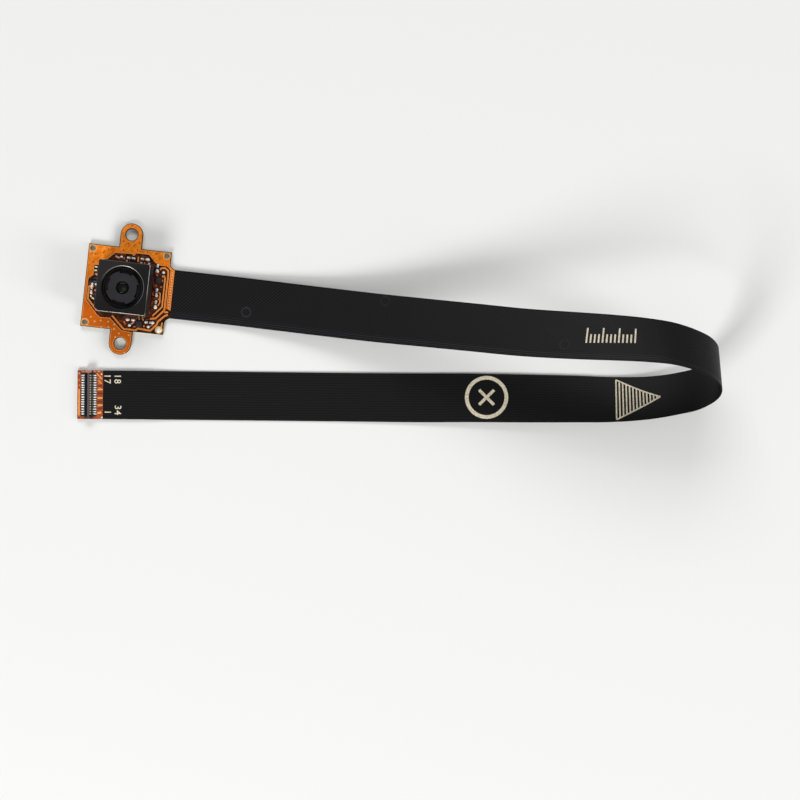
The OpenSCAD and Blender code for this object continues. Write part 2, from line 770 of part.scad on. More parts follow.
// The bare end of the flex, with its pads, fan-out tracks and edge strip.
module flex_end() {
    strip_x = 0.35 - end_l;
    color("darkorange") at_end() translate([0, 0, z_end_under]) {
        linear_extrude(flex_t) end_outline();
        translate([0, 0, flex_t]) linear_extrude(copper_t) {
            track([[strip_x, 0.4 - tail_w / 2], [strip_x, 1]], 0.3);
            for (i = [0:contact_count - 1]) {
                y = first_contact + i * contact_pitch;
                track([[contact_x - conn_x + 0.2, y], [-0.3, 0.93 * y]], 0.2);
            }
        }
    }
}

module connector_housing() {
    trough_w = (housing_w - spine_w) / 2 - housing_wall;
    floor_t = contact_t + 0.04;
    end_wall = 0.35;
    color("black") at_end() translate([-conn_x, 0, z_end]) difference() {
        translate([-housing_w / 2, -tail_w / 2, 0]) cube([housing_w, tail_w, housing_h]);
        for (side = [-1, 1])
            translate([side * (spine_w + trough_w) / 2, 0, floor_t + housing_h / 2])
                cube([trough_w, tail_w - 2 * end_wall, housing_h], center = true);
        for (i = [0:contact_count - 1], side = [-1, 1])
            translate([side * (spine_w / 2 + housing_w / 4 + 0.5),
                first_contact + i * contact_pitch, 0])
                cube([housing_w / 2 + 1, contact_w + 2 * fit, 2 * floor_t], center = true);
        for (side = [-1, 1]) translate([0, side * tail_w / 2, 0])
            cube([tab_w + 2 * fit, 2 * tab_t, 2 * tab_h], center = true);
    }
}

// One bent contact: its solder tail, its foot, and the spring beside the spine.
module contact() {
    rise = spine_w / 2 + fit;
    top = housing_h - 0.15;
    hook = rise + 0.26;
    color("gold") rotate([90, 0, 0]) translate([0, 0, -contact_w / 2])
        linear_extrude(contact_w) polygon([[rise, 0], [contact_x, 0], [contact_x, contact_t],
            [rise + contact_t, contact_t], [rise + contact_t, top - contact_t],
            [hook, top - contact_t], [hook, top], [rise, top]]);
}

module contact_row(side) {
    at_end() for (i = [0:contact_count - 1])
        translate([-conn_x, first_contact + i * contact_pitch, z_end])
            rotate(side > 0 ? 0 : 180) contact();
}

module outer_contacts() { contact_row(-1); }
module inner_contacts() { contact_row(1); }

tab_w = 0.5;
tab_t = 0.1;
tab_h = 0.3;

module connector_tabs() {
    color("silver") at_end() for (side = [-1, 1])
        translate([-conn_x, side * (tail_w / 2 - tab_t / 2), z_end + tab_h / 2 - fit / 2])
            cube([tab_w, tab_t, tab_h - fit], center = true);
}

board_stiffener();
flex_board();
image_sensor();
sensor_holder();
infrared_filter();
actuator_base();
actuator_terminals();
lower_leaf_spring();
upper_leaf_spring();
magnets();
spring_clamp();
actuator_can();
lens_carrier();
voice_coil();
lens_barrel();
front_lens();
second_lens();
third_lens();
fourth_lens();
rear_lens();
baffle_sheets();
lens_retainer();
chip_capacitors();
chip_resistors();
solder_joints();
driver_chip();
regulator_chip();
edge_glue();
corner_solder();
flex_tail();
flex_end();
end_stiffener();
connector_housing();
outer_contacts();
inner_contacts();
connector_tabs();
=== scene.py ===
import math
from bisect import bisect_right

import bmesh
import bpy
from mathutils import Matrix, Vector


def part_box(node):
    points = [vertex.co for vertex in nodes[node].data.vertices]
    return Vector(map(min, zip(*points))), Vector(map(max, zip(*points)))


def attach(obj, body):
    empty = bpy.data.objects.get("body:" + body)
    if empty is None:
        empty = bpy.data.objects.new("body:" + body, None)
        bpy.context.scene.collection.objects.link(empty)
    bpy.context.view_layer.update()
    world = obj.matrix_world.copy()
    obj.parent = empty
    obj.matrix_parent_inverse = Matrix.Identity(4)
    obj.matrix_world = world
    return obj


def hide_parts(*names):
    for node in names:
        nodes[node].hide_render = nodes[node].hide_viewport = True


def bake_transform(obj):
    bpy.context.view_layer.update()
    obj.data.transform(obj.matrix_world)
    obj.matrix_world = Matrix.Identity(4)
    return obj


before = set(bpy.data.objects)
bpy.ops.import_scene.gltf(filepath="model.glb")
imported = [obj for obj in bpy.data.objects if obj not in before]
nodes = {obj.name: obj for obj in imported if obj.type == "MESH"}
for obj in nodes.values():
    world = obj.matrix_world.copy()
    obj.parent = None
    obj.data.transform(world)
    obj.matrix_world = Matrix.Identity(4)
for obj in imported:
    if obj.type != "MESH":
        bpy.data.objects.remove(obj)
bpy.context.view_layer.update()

mm = 0.001

# ---------------------------------------------------------------- The setting
# A pale table top under the laid-out module, lit by three soft boxes and a pale
# room. The camera hangs over the middle of the tail and looks straight down.

table_side = 3.0
paper_white = (232, 232, 230)
room_white = (236, 238, 240)
room_strength = 0.32
lit_middle = Vector((0.045, -0.01, 0.005))
# Each soft box: its place, its width and height, and its power in watts.
soft_boxes = {"near_soft_box": ((-0.17, -0.56, 0.42), (0.26, 0.26), 3.7),
              "right_soft_box": ((0.70, -0.16, 0.34), (0.18, 0.36), 2.2),
              "far_soft_box": ((-0.15, 0.75, 0.62), (0.80, 0.45), 5.0)}
camera_place = Vector((47.35, -13.34, 365.4)) * mm
camera_turn = math.radians(6.3)
camera_lens = 98.66


def linear(red, green, blue):
    """A colour given as 0 to 255 on a screen, as shaders take it."""
    def channel(value):
        value /= 255
        return value / 12.92 if value <= 0.04045 else ((value + 0.055) / 1.055) ** 2.4
    return (channel(red), channel(green), channel(blue), 1)


def new_object(name, data):
    made = bpy.data.objects.new(name, data)
    bpy.context.scene.collection.objects.link(made)
    return made


table_shape = bmesh.new()
bmesh.ops.create_grid(table_shape, x_segments=1, y_segments=1, size=table_side / 2)
table_mesh = bpy.data.meshes.new("table_top")
table_shape.to_mesh(table_mesh)
table_shape.free()
table_top = new_object("table_top", table_mesh)
table_paper = bpy.data.materials.new("table_paper")
table_paper.use_nodes = True
paper_shader = table_paper.node_tree.nodes["Principled BSDF"]
paper_shader.inputs["Base Color"].default_value = linear(*paper_white)
paper_shader.inputs["Roughness"].default_value = 0.9
table_mesh.materials.append(table_paper)

room = bpy.data.worlds.new("room")
bpy.context.scene.world = room
room.use_nodes = True
room_light = room.node_tree.nodes["Background"]
room_light.inputs["Color"].default_value = linear(*room_white)
room_light.inputs["Strength"].default_value = room_strength

for name, (place, size, power) in soft_boxes.items():
    lamp = bpy.data.lights.new(name, "AREA")
    lamp.shape = "RECTANGLE"
    lamp.size, lamp.size_y = size
    lamp.energy = power
    soft_box = new_object(name, lamp)
    soft_box.location = place
    soft_box.rotation_mode = "QUATERNION"
    soft_box.rotation_quaternion = (lit_middle - soft_box.location).to_track_quat("-Z", "Y")

lens = bpy.data.cameras.new("camera")
lens.lens = camera_lens
lens.sensor_width = 36.0
lens.clip_start = 0.01
camera = new_object("camera", lens)
camera.location = camera_place
camera.rotation_euler = (0, 0, camera_turn)
bpy.context.scene.camera = camera
bpy.context.scene.view_settings.view_transform = "Standard"

# ---------------------------------------------------------------- The flex tail
# A polyimide strip with copper tracks inside, covered on both sides with black
# shielding film. It is bonded to the board's neck, turns back over itself in a
# leaning loop and lies flat on the table up to its connector.

tail_width = 8.1 * mm
tail_thickness = 0.2 * mm
tail_columns = 81
ring_step = 0.6 * mm
edge_rounding = 0.04 * mm
film_black = (15, 15, 15)
film_dust = (34, 34, 35)
hatch_pitch = 0.573 * mm
hatch_middle = 0.50 * mm
hatch_half = 3.4 * mm
ridges_from = 2.88 * mm
ridge_pitch = 0.34 * mm
ridge_count = 3
ridge_depth = 0.024 * mm
track_pitch = 0.42 * mm
track_depth = 0.006 * mm
weave_pitch = 0.30 * mm
press_radius = 0.75 * mm
# Each ring pressed into the upper film: along and across in mm, and its strength.
pressed_rings = ((12.5, -1.6, 1.0), (35.5, 2.9, 0.4), (66.6, -1.7, 0.6))

# The centre line in metres, then how far the strip leans about its own run and
# how far it is turned about Z, both in degrees.
TAIL_ROUTE = [
    (0.00785, 0, 0.00055, 0, 0), (0.012, 0, 0.00055, 0, 0), (0.018, 0, 0.00065, 0.5, 0.5),
    (0.026, -0.0001, 0.0012, 2, 1), (0.034, -0.0002, 0.0022, 4.5, 1.5),
    (0.042, -0.0003, 0.004, 8, 2), (0.050, -0.0003, 0.0064, 12, 2.5),
    (0.058, -0.0003, 0.009, 15, 3.5), (0.066, -0.0003, 0.0117, 18, 4.5),
    (0.074, 0, 0.0141, 21, 5.5), (0.080, 0.0003, 0.0154, 25, 6),
    (0.0855, 0.0005, 0.0159, 29, 6), (0.090, 0.0004, 0.0156, 32, 6),
    (0.094, -0.0003, 0.0144, 33, 6), (0.0967, -0.0012, 0.0127, 33, 6),
    (0.0982, -0.0024, 0.0107, 33, 6), (0.0984, -0.0036, 0.0087, 33, 6),
    (0.0976, -0.0048, 0.0068, 33, 6), (0.0958, -0.0061, 0.0051, 33, 6),
    (0.0926, -0.0073, 0.0036, 33, 6), (0.0885, -0.0084, 0.0026, 30, 6),
    (0.083, -0.0093, 0.0019, 24, 6), (0.076, -0.010, 0.0014, 17, 6),
    (0.068, -0.0108, 0.001, 11, 6), (0.060, -0.0116, 0.00062, 6, 6),
    (0.050, -0.0127, 0.0003, 2, 6), (0.038, -0.0139, 0.00017, 0, 5.8),
    (0.020, -0.0157, 0.00012, 0, 5.8), (0.010, -0.0167, 0.00018, 0, 5.8),
    (0.004, -0.0173, 0.00035, 0, 5.8), (-0.0019, -0.0179, 0.00035, 0, 5.8),
]
route = [Vector(point) for point in TAIL_ROUTE]


def chord(i):
    return Vector((route[i + 1] - route[i])[:3]).length


def run(i):
    return (route[i + 1] - route[i]) / chord(i)


def slope(i):
    if i == 0:
        return run(0)
    if i == len(route) - 1:
        return run(i - 1)
    return (run(i - 1) * chord(i) + run(i) * chord(i - 1)) / (chord(i - 1) + chord(i))


def route_at(i, t):
    leaving = slope(i) * chord(i) * (t**3 - 2 * t**2 + t)
    arriving = slope(i + 1) * chord(i) * (t**3 - t**2)
    return (route[i] * (2 * t**3 - 3 * t**2 + 1) + leaving
            + route[i + 1] * (3 * t**2 - 2 * t**3) + arriving)


def across_tail(station, along):
    lean, turn = math.radians(station[3]), math.radians(station[4])
    flat = Vector((-math.sin(turn) * math.cos(lean), math.cos(turn) * math.cos(lean), -math.sin(lean)))
    return (flat - flat.dot(along) * along).normalized()


stations = [route_at(i, k / 16) for i in range(len(route) - 1) for k in range(16)] + [route[-1]]
tail_line = [Vector(station[:3]) for station in stations]
tail_run = [(tail_line[min(i + 1, len(tail_line) - 1)] - tail_line[max(i - 1, 0)]).normalized()
            for i in range(len(tail_line))]
tail_side = [across_tail(station, along) for station, along in zip(stations, tail_run)]
tail_reach = [0.0]
for before, after in zip(tail_line, tail_line[1:]):
    tail_reach.append(tail_reach[-1] + (after - before).length)
tail_length = tail_reach[-1]


def on_tail(point):
    """Lays a point of the flat strip (along, across, height) on the tail's route."""
    i = min(max(bisect_right(tail_reach, point.x) - 1, 0), len(tail_line) - 2)
    t = (point.x - tail_reach[i]) / (tail_reach[i + 1] - tail_reach[i])
    along = tail_run[i].lerp(tail_run[i + 1], t).normalized()
    side = tail_side[i].lerp(tail_side[i + 1], t).normalized()
    return tail_line[i].lerp(tail_line[i + 1], t) + side * point.y + along.cross(side) * point.z


class Wire:
    """A socket of a material's nodes. Sums and comparisons of wires add Math nodes."""

    def __init__(self, tree, socket=None):
        self.tree = tree
        self.socket = socket

    def node(self, kind, settings=(), inputs=(), outlet=0):
        """Adds a node: its settings first, then the values or wires of its sockets."""
        made = self.tree.nodes.new("ShaderNode" + kind)
        for name, value in dict(settings).items():
            setattr(made, name, value)
        for name, value in dict(inputs).items():
            if isinstance(value, Wire):
                self.tree.links.new(value.socket, made.inputs[name])
            else:
                made.inputs[name].default_value = value
        return Wire(self.tree, made.outputs[outlet])

    def math(self, operation, *values):
        return self.node("Math", {"operation": operation}, enumerate(values))

    def __add__(self, other):
        return self.math("ADD", self, other)

    __radd__ = __add__

    def __mul__(self, other):
        return self.math("MULTIPLY", self, other)

    __rmul__ = __mul__

    def __sub__(self, other):
        return self.math("SUBTRACT", self, other)

    def __rsub__(self, other):
        return self.math("SUBTRACT", other, self)

    def __truediv__(self, other):
        return self.math("DIVIDE", self, other)

    def __abs__(self):
        return self.math("ABSOLUTE", self)

    def __mod__(self, other):
        return self.math("FLOORED_MODULO", self, other)

    def __gt__(self, other):
        return self.math("GREATER_THAN", self, other)

    def __lt__(self, other):
        return self.math("LESS_THAN", self, other)

    def mix(self, low, high):
        """The colour low where this wire is 0 and high where it is 1."""
        low, high = [end if isinstance(end, Wire) else linear(*end) for end in (low, high)]
        return self.node("Mix", {"data_type": "RGBA"}, {0: self, 6: low, 7: high}, 2)

    def step(self, low, high, start=0.0, end=1.0):
        """Rises smoothly from start at low to end at high."""
        return self.node("MapRange", {"interpolation_type": "SMOOTHSTEP"},
                         {"Value": self, "From Min": low, "From Max": high,
                          "To Min": start, "To Max": end})

    def parts(self, axes="XYZ"):
        """The parts of a vector, in the order of their axes."""
        return [self.node("SeparateXYZ", (), {0: self}, axis) for axis in axes]


def place_of(wire):
    """A point's place on the object."""
    return wire.node("TexCoord", outlet="Object")


def grain(wire, size, detail=3.0, stretch=None, seed=0.0):
    """Noise from 0 to 1 in blots of a size, drawn out by three factors, shifted by a seed."""
    where = place_of(wire)
    if stretch or seed:
        where = wire.node("Mapping", (), {"Vector": where, "Location": (seed, seed, seed),
                                          "Scale": stretch or (1, 1, 1)})
    return wire.node("TexNoise", (), {"Vector": where, "Scale": 1 / size, "Detail": detail})


def ripple(value, pitch):
    """Falls from 0.5 to 0 and rises back once in every pitch."""
    return abs((value / pitch) % 1 - 0.5)


def distance(x, y, middle=(0, 0)):
    """How far the point at x and y lies from a middle."""
    spot = x.node("CombineXYZ", (), {0: x, 1: y})
    return x.node("VectorMath", {"operation": "DISTANCE"}, {0: spot, 1: (*middle, 0)}, "Value")


def bump(height, depth):
    """A normal for a relief of a height from 0 to 1 and a depth in metres."""
    return height.node("Bump", (), {"Height": height, "Distance": depth, "Strength": 1.0})


def finish(name, paint, **plain):
    """A material: paint(wire) gives the sockets that vary, and plain sets the rest."""
    material = bpy.data.materials.new(name)
    material.use_nodes = True
    tree = material.node_tree
    shader = tree.nodes["Principled BSDF"]
    for socket, value in paint(Wire(tree)).items():
        tree.links.new(value.socket, shader.inputs[socket])
    for socket, value in plain.items():
        shader.inputs[socket.replace("_", " ")].default_value = value
    return material


def film_place(wire):
    """Along and across the tail, in metres."""
    return wire.node("UVMap", {"uv_map": "along"}).parts("XY")


def upper_film(wire):
    along, across = film_place(wire)
    hatch = (ripple(along - across, hatch_pitch) * 2).step(0.15, 0.85)
    middle_zone = abs(across - hatch_middle).step(hatch_half - 0.15 * mm, hatch_half, 1, 0)
    grooves = hatch * middle_zone
    ridges = (ripple(across + ridges_from, ridge_pitch) * 2).step(0.3, 0.9)
    near_band = (across < -ridges_from) * (across > -ridges_from - ridge_count * ridge_pitch)
    rings = 0
    for ring_along, ring_across, strength in pressed_rings:
        far = distance(along, across, (ring_along * mm, ring_across * mm))
        rings = abs(far - press_radius).step(0.06 * mm, 0.20 * mm, strength, 0) + rings
    specks = grain(wire, 0.5 * mm, 4).step(0.66, 0.78)
    cloud = grain(wire, 6 * mm, 2)
    colour = (specks * 0.5).mix(film_black, film_dust)
    colour = grooves.mix(colour, (31, 30, 32))
    # The near ridges and the pressed rings are painted lighter than the film, as painted highlight on their
    # relief.
    colour = (ridges * near_band * 0.8 + rings * 0.6).mix(colour, (48, 47, 50))
    # Darker from 78 mm along into the loop: painted shade.
    colour = (along.step(78 * mm, 96 * mm) * 0.4).mix(colour, (10, 10, 10))
    return {"Base Color": colour, "Roughness": 0.40 + cloud * 0.12 + specks * 0.2,
            "Normal": bump(grooves * 0.25 + rings, 0.05 * mm)}


def lower_film(wire):
    along, across = film_place(wire)
    tracks = ripple(across, track_pitch).step(0.12, 0.3)
    weave = ripple(along - across, weave_pitch) * 2
    specks = grain(wire, 0.4 * mm, 4).step(0.68, 0.80)
    cloud = grain(wire, 8 * mm, 2)
    colour = (specks * 0.4).mix(film_black, film_dust)
    colour = (tracks * 0.3).mix(colour, (38, 38, 40))
    # Darker from 126 mm along back into the loop: painted shade.
    colour = (along.step(126 * mm, 112 * mm) * 0.4).mix(colour, (8, 8, 8))
    return {"Base Color": colour, "Roughness": 0.42 + cloud * 0.12 + specks * 0.2,
            "Normal": bump(tracks * 0.6 + weave * 0.25, 0.010 * mm)}


def tail_relief(across, upper):
    """How far the film sinks between the tracks inside, as a height of 0 or less."""
    past_ridges = -across - ridges_from
    if upper and not 0 < past_ridges < ridge_count * ridge_pitch:
        return 0.0
    turns = past_ridges / ridge_pitch if upper else across / track_pitch
    depth = ridge_depth if upper else track_depth
    return -depth / 2 * (1 - math.cos(2 * math.pi * turns))


def close_mesh(name, shape, *materials):
    """Turns a bmesh into an object of the module, with its faces pointing outwards."""
    bmesh.ops.recalc_face_normals(shape, faces=shape.faces)
    mesh = bpy.data.meshes.new(name)
    shape.to_mesh(mesh)
    shape.free()
    for material in materials:
        mesh.materials.append(material)
    return new_object(name, mesh)


def seat(piece, body, slot, *nodes_replaced):
    """Puts a piece on a body, in the stead of CAD nodes. The slot is not used."""
    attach(piece, body)
    for node in nodes_replaced:
        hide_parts(node)


tail_shape = bmesh.new()
rings = round(tail_length / ring_step)
for upper in (True, False):
    grid = bmesh.ops.create_grid(tail_shape, x_segments=rings, y_segments=tail_columns, size=0.5)
    facing = 1 if upper else -1
    for vert in grid["verts"]:
        across = vert.co.y * tail_width
        rounding = edge_rounding if abs(vert.co.y) > 0.4999 else 0.0
        height = tail_thickness / 2 + tail_relief(across, upper) - rounding
        vert.co = ((vert.co.x + 0.5) * tail_length, across, facing * height)
    if not upper:
        lower_faces = [face for face in tail_shape.faces if face.verts[0].co.z < 0]
        bmesh.ops.reverse_faces(tail_shape, faces=lower_faces)
        for face in lower_faces:
            face.material_index = 1
rims = [edge for edge in tail_shape.edges if edge.is_boundary]
bmesh.ops.bridge_loops(tail_shape, edges=rims)
along_layer = tail_shape.loops.layers.uv.new("along")
for face in tail_shape.faces:
    face.smooth = True
    for loop in face.loops:
        loop[along_layer].uv = loop.vert.co.xy
for edge in rims:
    edge.smooth = False
for vert in tail_shape.verts:
    vert.co = on_tail(vert.co)
tail = close_mesh("shielded_tail", tail_shape,
                  finish("shielding_film_upper", upper_film, Specular_IOR_Level=0.09),
                  finish("shielding_film_lower", lower_film, Specular_IOR_Level=0.11))
seat(tail, "module", "tail_film", "flex_tail")

# ---------------------------------------------------------------- The tail's print
# Cream ink screened on the film before the strip is cut: a row of scale ticks on
# the upper run, a ring with a cross, a taper of bars, and the pin numbers at the
# connector. Each mark is a thin layer that follows the film.

ink_height = 0.02 * mm
ink_lift = tail_thickness / 2 - 0.01 * mm
bar_cut = 0.5 * mm
ring_mark_place = (137.4 * mm, 0.1 * mm)
ring_mark_radius = 3.6 * mm
ring_mark_line = 0.62 * mm
cross_half = 1.75 * mm
cross_line = 0.5 * mm
taper_from, taper_to = 115.9 * mm, 108.6 * mm
taper_middle = -0.1 * mm
taper_half = 3.6 * mm
taper_line = 0.24 * mm
taper_bars = 13
scale_from, scale_to = 70.05 * mm, 77.75 * mm
scale_foot, scale_rise = -1.2 * mm, 0.4 * mm
scale_ticks = 13
tick_long, tick_short = 2.6 * mm, 1.5 * mm
tick_line = 0.26 * mm
figure_size = 1.55 * mm
# Each pin number: its words, and its place along and across.
pin_places = (("17", 201.05 * mm, 3.5 * mm), ("18", 199.35 * mm, 3.5 * mm),
              ("1", 200.95 * mm, -2.5 * mm), ("34", 199.25 * mm, -1.7 * mm))


def ink_paint(wire):
    wear = grain(wire, 0.25 * mm, 5).step(0.35, 0.65)
    return {"Base Color": wear.mix((196, 184, 158), (232, 222, 198)),
            "Roughness": 0.55 + wear * 0.15}


ink = finish("screened_ink", ink_paint, Specular_IOR_Level=0.3)


def strip(shape, middle, length, width, turn, cuts=1):
    """A flat rectangle about a middle, turned by an angle and cut into short lengths."""
    place = (Matrix.Translation(middle.to_3d()) @ Matrix.Rotation(turn, 4, "Z")
             @ Matrix.Diagonal((length, width, 1, 1)))
    grid = bmesh.ops.create_grid(shape, x_segments=cuts, y_segments=1, size=0.5, matrix=place)
    return grid["verts"]


def bar(shape, start, end, width):
    """A flat bar between two points."""
    span = Vector(end) - Vector(start)
    cuts = max(2, round(span.length / bar_cut))
    return strip(shape, Vector(start) + span / 2, span.length, width, math.atan2(span.y, span.x), cuts)


def corners_in(found):
    """The vertices among what an operator made."""
    return [item for item in found if isinstance(item, bmesh.types.BMVert)]


def lift(shape, verts, height):
    bmesh.ops.translate(shape, vec=(0, 0, height), verts=verts)


def thicken(shape, faces, height):
    """Draws flat faces out by a height, with walls round them."""
    lift(shape, corners_in(bmesh.ops.extrude_face_region(shape, geom=faces)["geom"]), height)


def draw_walls(shape, edges, height):
    """Draws walls from edges, as far as a height."""
    lift(shape, corners_in(bmesh.ops.extrude_edge_only(shape, edges=edges)["geom"]), height)


def lay_ink(name, shape, upper):
    """Gives flat marks their thickness and lays them on one side of the tail."""
    bmesh.ops.remove_doubles(shape, verts=shape.verts, dist=0.001 * mm)
    thicken(shape, shape.faces[:], ink_height)
    facing = 1 if upper else -1
    for vert in shape.verts:
        vert.co = on_tail(Vector((vert.co.x, vert.co.y, facing * (ink_lift + vert.co.z))))
    mark = close_mesh(name, shape, ink)
    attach(mark, "module")
    return mark


ring_shape = bmesh.new()
bmesh.ops.create_circle(ring_shape, cap_ends=True, radius=ring_mark_radius, segments=96)
bmesh.ops.inset_region(ring_shape, faces=ring_shape.faces[:], thickness=ring_mark_line,
                       use_boundary=True, use_even_offset=True)
disc = max(ring_shape.faces, key=lambda face: len(face.verts))
bmesh.ops.delete(ring_shape, geom=[disc], context="FACES")
for angle in (45, 135):
    reach = Vector((math.cos(math.radians(angle)), math.sin(math.radians(angle)))) * cross_half
    bar(ring_shape, -reach, reach, cross_line)
bmesh.ops.translate(ring_shape, vec=(*ring_mark_place, 0), verts=ring_shape.verts)
ring_mark = lay_ink("ring_mark", ring_shape, upper=False)

taper_shape = bmesh.new()
for side in (-1, 1):
    bar(taper_shape, (taper_from, taper_middle + side * taper_half), (taper_to, taper_middle), taper_line)
for k in range(taper_bars):
    share = k / taper_bars
    at = taper_from + (taper_to - taper_from) * share
    half = taper_half * (1 - share)
    bar(taper_shape, (at, taper_middle - half), (at, taper_middle + half), taper_line)
taper_mark = lay_ink("taper_mark", taper_shape, upper=False)

scale_shape = bmesh.new()
for k in range(scale_ticks):
    share = k / (scale_ticks - 1)
    at = scale_from + (scale_to - scale_from) * share
    foot = scale_foot + scale_rise * share
    bar(scale_shape, (at, foot), (at, foot + (tick_short if k % 4 else tick_long)), tick_line)
scale_mark = lay_ink("scale_mark", scale_shape, upper=True)


def pin_number(words, along, across):
    """A number in plain figures, which reads across the tail."""
    curve = bpy.data.curves.new("pin_number_" + words, "FONT")
    curve.body = words
    curve.size = figure_size
    curve.space_character = 1.12
    curve.extrude = ink_height / 2
    curve.resolution_u = 6
    curve.offset = 0.01 * mm
    writing = new_object("writing", curve)
    bpy.context.view_layer.update()
    seen = writing.evaluated_get(bpy.context.evaluated_depsgraph_get())
    figures = bmesh.new()
    figures.from_mesh(bpy.data.meshes.new_from_object(seen))
    bpy.data.objects.remove(writing)
    bmesh.ops.remove_doubles(figures, verts=figures.verts, dist=0.001 * mm)
    bmesh.ops.triangulate(figures, faces=figures.faces)
    for vert in figures.verts:
        flat = Vector((along - vert.co.y, across - vert.co.x, -(ink_lift + ink_height / 2) - vert.co.z))
        vert.co = on_tail(flat)
    mark = close_mesh("pin_number_" + words, figures, ink)
    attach(mark, "module")
    return mark


pin_numbers = [pin_number(*pin) for pin in pin_places]

# ---------------------------------------------------------------- The square board
# A glass-epoxy stiffener bonded under an amber flex circuit. Etched copper areas
# and traces lie under the clear coverlay, and drilled vias join its layers.

board_low, board_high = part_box("flex_board")
laminate_top = board_high.z - 0.04 * mm
copper_top = board_high.z
corner_hole = 0.475 * mm
corner_place = 6.18 * mm
weave_step = 0.45 * mm
copper_bright = (250, 138, 20)
copper_deep = (214, 100, 10)
copper_sheen = (255, 170, 58)
pale_copper_highlight = (246, 166, 88)
laminate_brown = (94, 44, 18)
laminate_dark = (36, 15, 7)
rim_width = 0.09 * mm
rim_lift = 0.012 * mm
via_sides = 16
trace_line = 0.09 * mm
pad_corner = 0.06 * mm
# The middles of the vias in mm: those spread over the board, then a row by the tail.
via_dots = [
    (-5.9, 3.95), (-5.7, 5.25), (-4.35, 5.6), (-4.25, 5.9), (4.4, 6.4), (-1.1, 6.4), (-0.4, 7.6),
    (0.6, 7.4), (1.2, 6.7), (-1.2, 7.9), (1.4, 7.9), (0, 10.6), (-3.6, 6.3), (2.9, 6.5),
    (-3.6, -5.65), (-2.35, -5.7), (-1.3, -6.05), (-1.25, -6.8), (-3.4, -6.7), (-2.2, -6.6),
    (-0.35, -7.45), (1.3, -7.55), (-0.9, -8.1), (0.9, -10.55), (-5.3, -5.2), (-4.6, -5.9),
]
via_row = [(7.42, -2.3 + 0.45 * k) for k in range(14)]


def board_paint(wire):
    x, y, height = place_of(wire).parts()
    on_copper = height > (laminate_top + copper_top) / 2
    below = height < board_low.z + 0.03 * mm
    mottle = grain(wire, 0.8 * mm, 4).step(0.3, 0.7)
    slant = wire.node("CombineXYZ", (), {0: (x + y) * 0.35, 1: (y - x) * 1.3})
    streaks = wire.node("TexNoise", (), {"Vector": slant, "Scale": 1 / (0.5 * mm), "Detail": 3})
    streaks = streaks.step(0.42, 0.72)
    smoke = grain(wire, 1.6 * mm, 2).step(0.35, 0.65)
    from_corner = distance(abs(x) - corner_place, abs(y) - corner_place)
    corner_rim = from_corner.step(corner_hole + 0.12 * mm, corner_hole + 0.20 * mm, 1, 0)
    copper = mottle.mix(copper_deep, copper_bright)
    copper = (streaks * 0.7).mix(copper, copper_sheen)
    # Darker towards the lower edge and the sides: painted shade.
    copper = ((y - abs(x) * 0.5).step(5.0 * mm, -5.0 * mm) * 0.85).mix(copper, (186, 84, 2))
    laminate = (mottle * smoke).mix(laminate_dark, laminate_brown)
    colour = on_copper.mix(laminate, copper)
    colour = (corner_rim * 0.8).mix(colour, (238, 190, 120))
    colour = below.mix(colour, (120, 62, 24))
    return {"Base Color": colour, "Roughness": 0.36 + mottle * 0.18,
            "Normal": bump(streaks + mottle, 0.012 * mm)}


def dress(name, material):
    """Gives a CAD node its finish."""
    nodes[name].material_slots[0].material = material


coverlay = finish("coverlay_over_copper", board_paint, Specular_IOR_Level=0.14, Coat_Weight=0.05,
                  Coat_Roughness=0.3)
dress("flex_board", coverlay)


def laminate_paint(wire):
    x, y = place_of(wire).parts("XY")
    weave = (ripple(x, weave_step) + ripple(y, weave_step)).step(0.2, 0.8)
    stain = grain(wire, 2.5 * mm, 3)
    colour = weave.mix((122, 108, 54), (158, 142, 80))
    colour = (stain.step(0.4, 0.8) * 0.5).mix(colour, (104, 88, 44))
    return {"Base Color": colour, "Roughness": 0.42 + stain * 0.2, "Normal": bump(weave, 0.006 * mm)}


glass_epoxy = finish("glass_epoxy", laminate_paint, Coat_Weight=0.2)
dress("board_stiffener", glass_epoxy)


def mottled(size, low, high, detail=3.0, rough=None, relief=0, stretch=None):
    """A paint that wavers between two colours. Its blots and relief are sized in mm."""
    def paint(wire):
        blots = grain(wire, size * mm, detail, stretch)
        varying = {"Base Color": blots.mix(low, high)}
        if rough:
            varying["Roughness"] = rough[0] + blots * rough[1]
        if relief:
            varying["Normal"] = bump(blots, relief * mm)
        return varying
    return paint


# The raised rims' pale copper is a painted highlight along the edges of the copper and the traces.
copper_rim_highlight = finish("pale_copper_highlight", mottled(0.4, (232, 126, 36), pale_copper_highlight, rough=(0.28, 0.15)),
                    Coat_Weight=0.2, Coat_Roughness=0.2)


def shape_of(node, gap):
    """A copy of a CAD node's shape, merged where corners are nearer than a gap in mm."""
    shape = bmesh.new()
    shape.from_mesh(nodes[node].data)
    bmesh.ops.remove_doubles(shape, verts=shape.verts, dist=gap * mm)
    return shape


def top_of(node, level, depth):
    """A copy of a node's flat faces at one level, joined into whole faces."""
    shape = shape_of(node, 0.002)
    lower = [face for face in shape.faces if min(vert.co.z for vert in face.verts) < level - depth]
    bmesh.ops.delete(shape, geom=lower, context="FACES")
    bmesh.ops.dissolve_limit(shape, angle_limit=0.02, verts=shape.verts, edges=shape.edges)
    return shape


def at_corner_hole(spot):
    return math.hypot(abs(spot.x) - corner_place, abs(spot.y) - corner_place) < corner_hole + 0.2 * mm


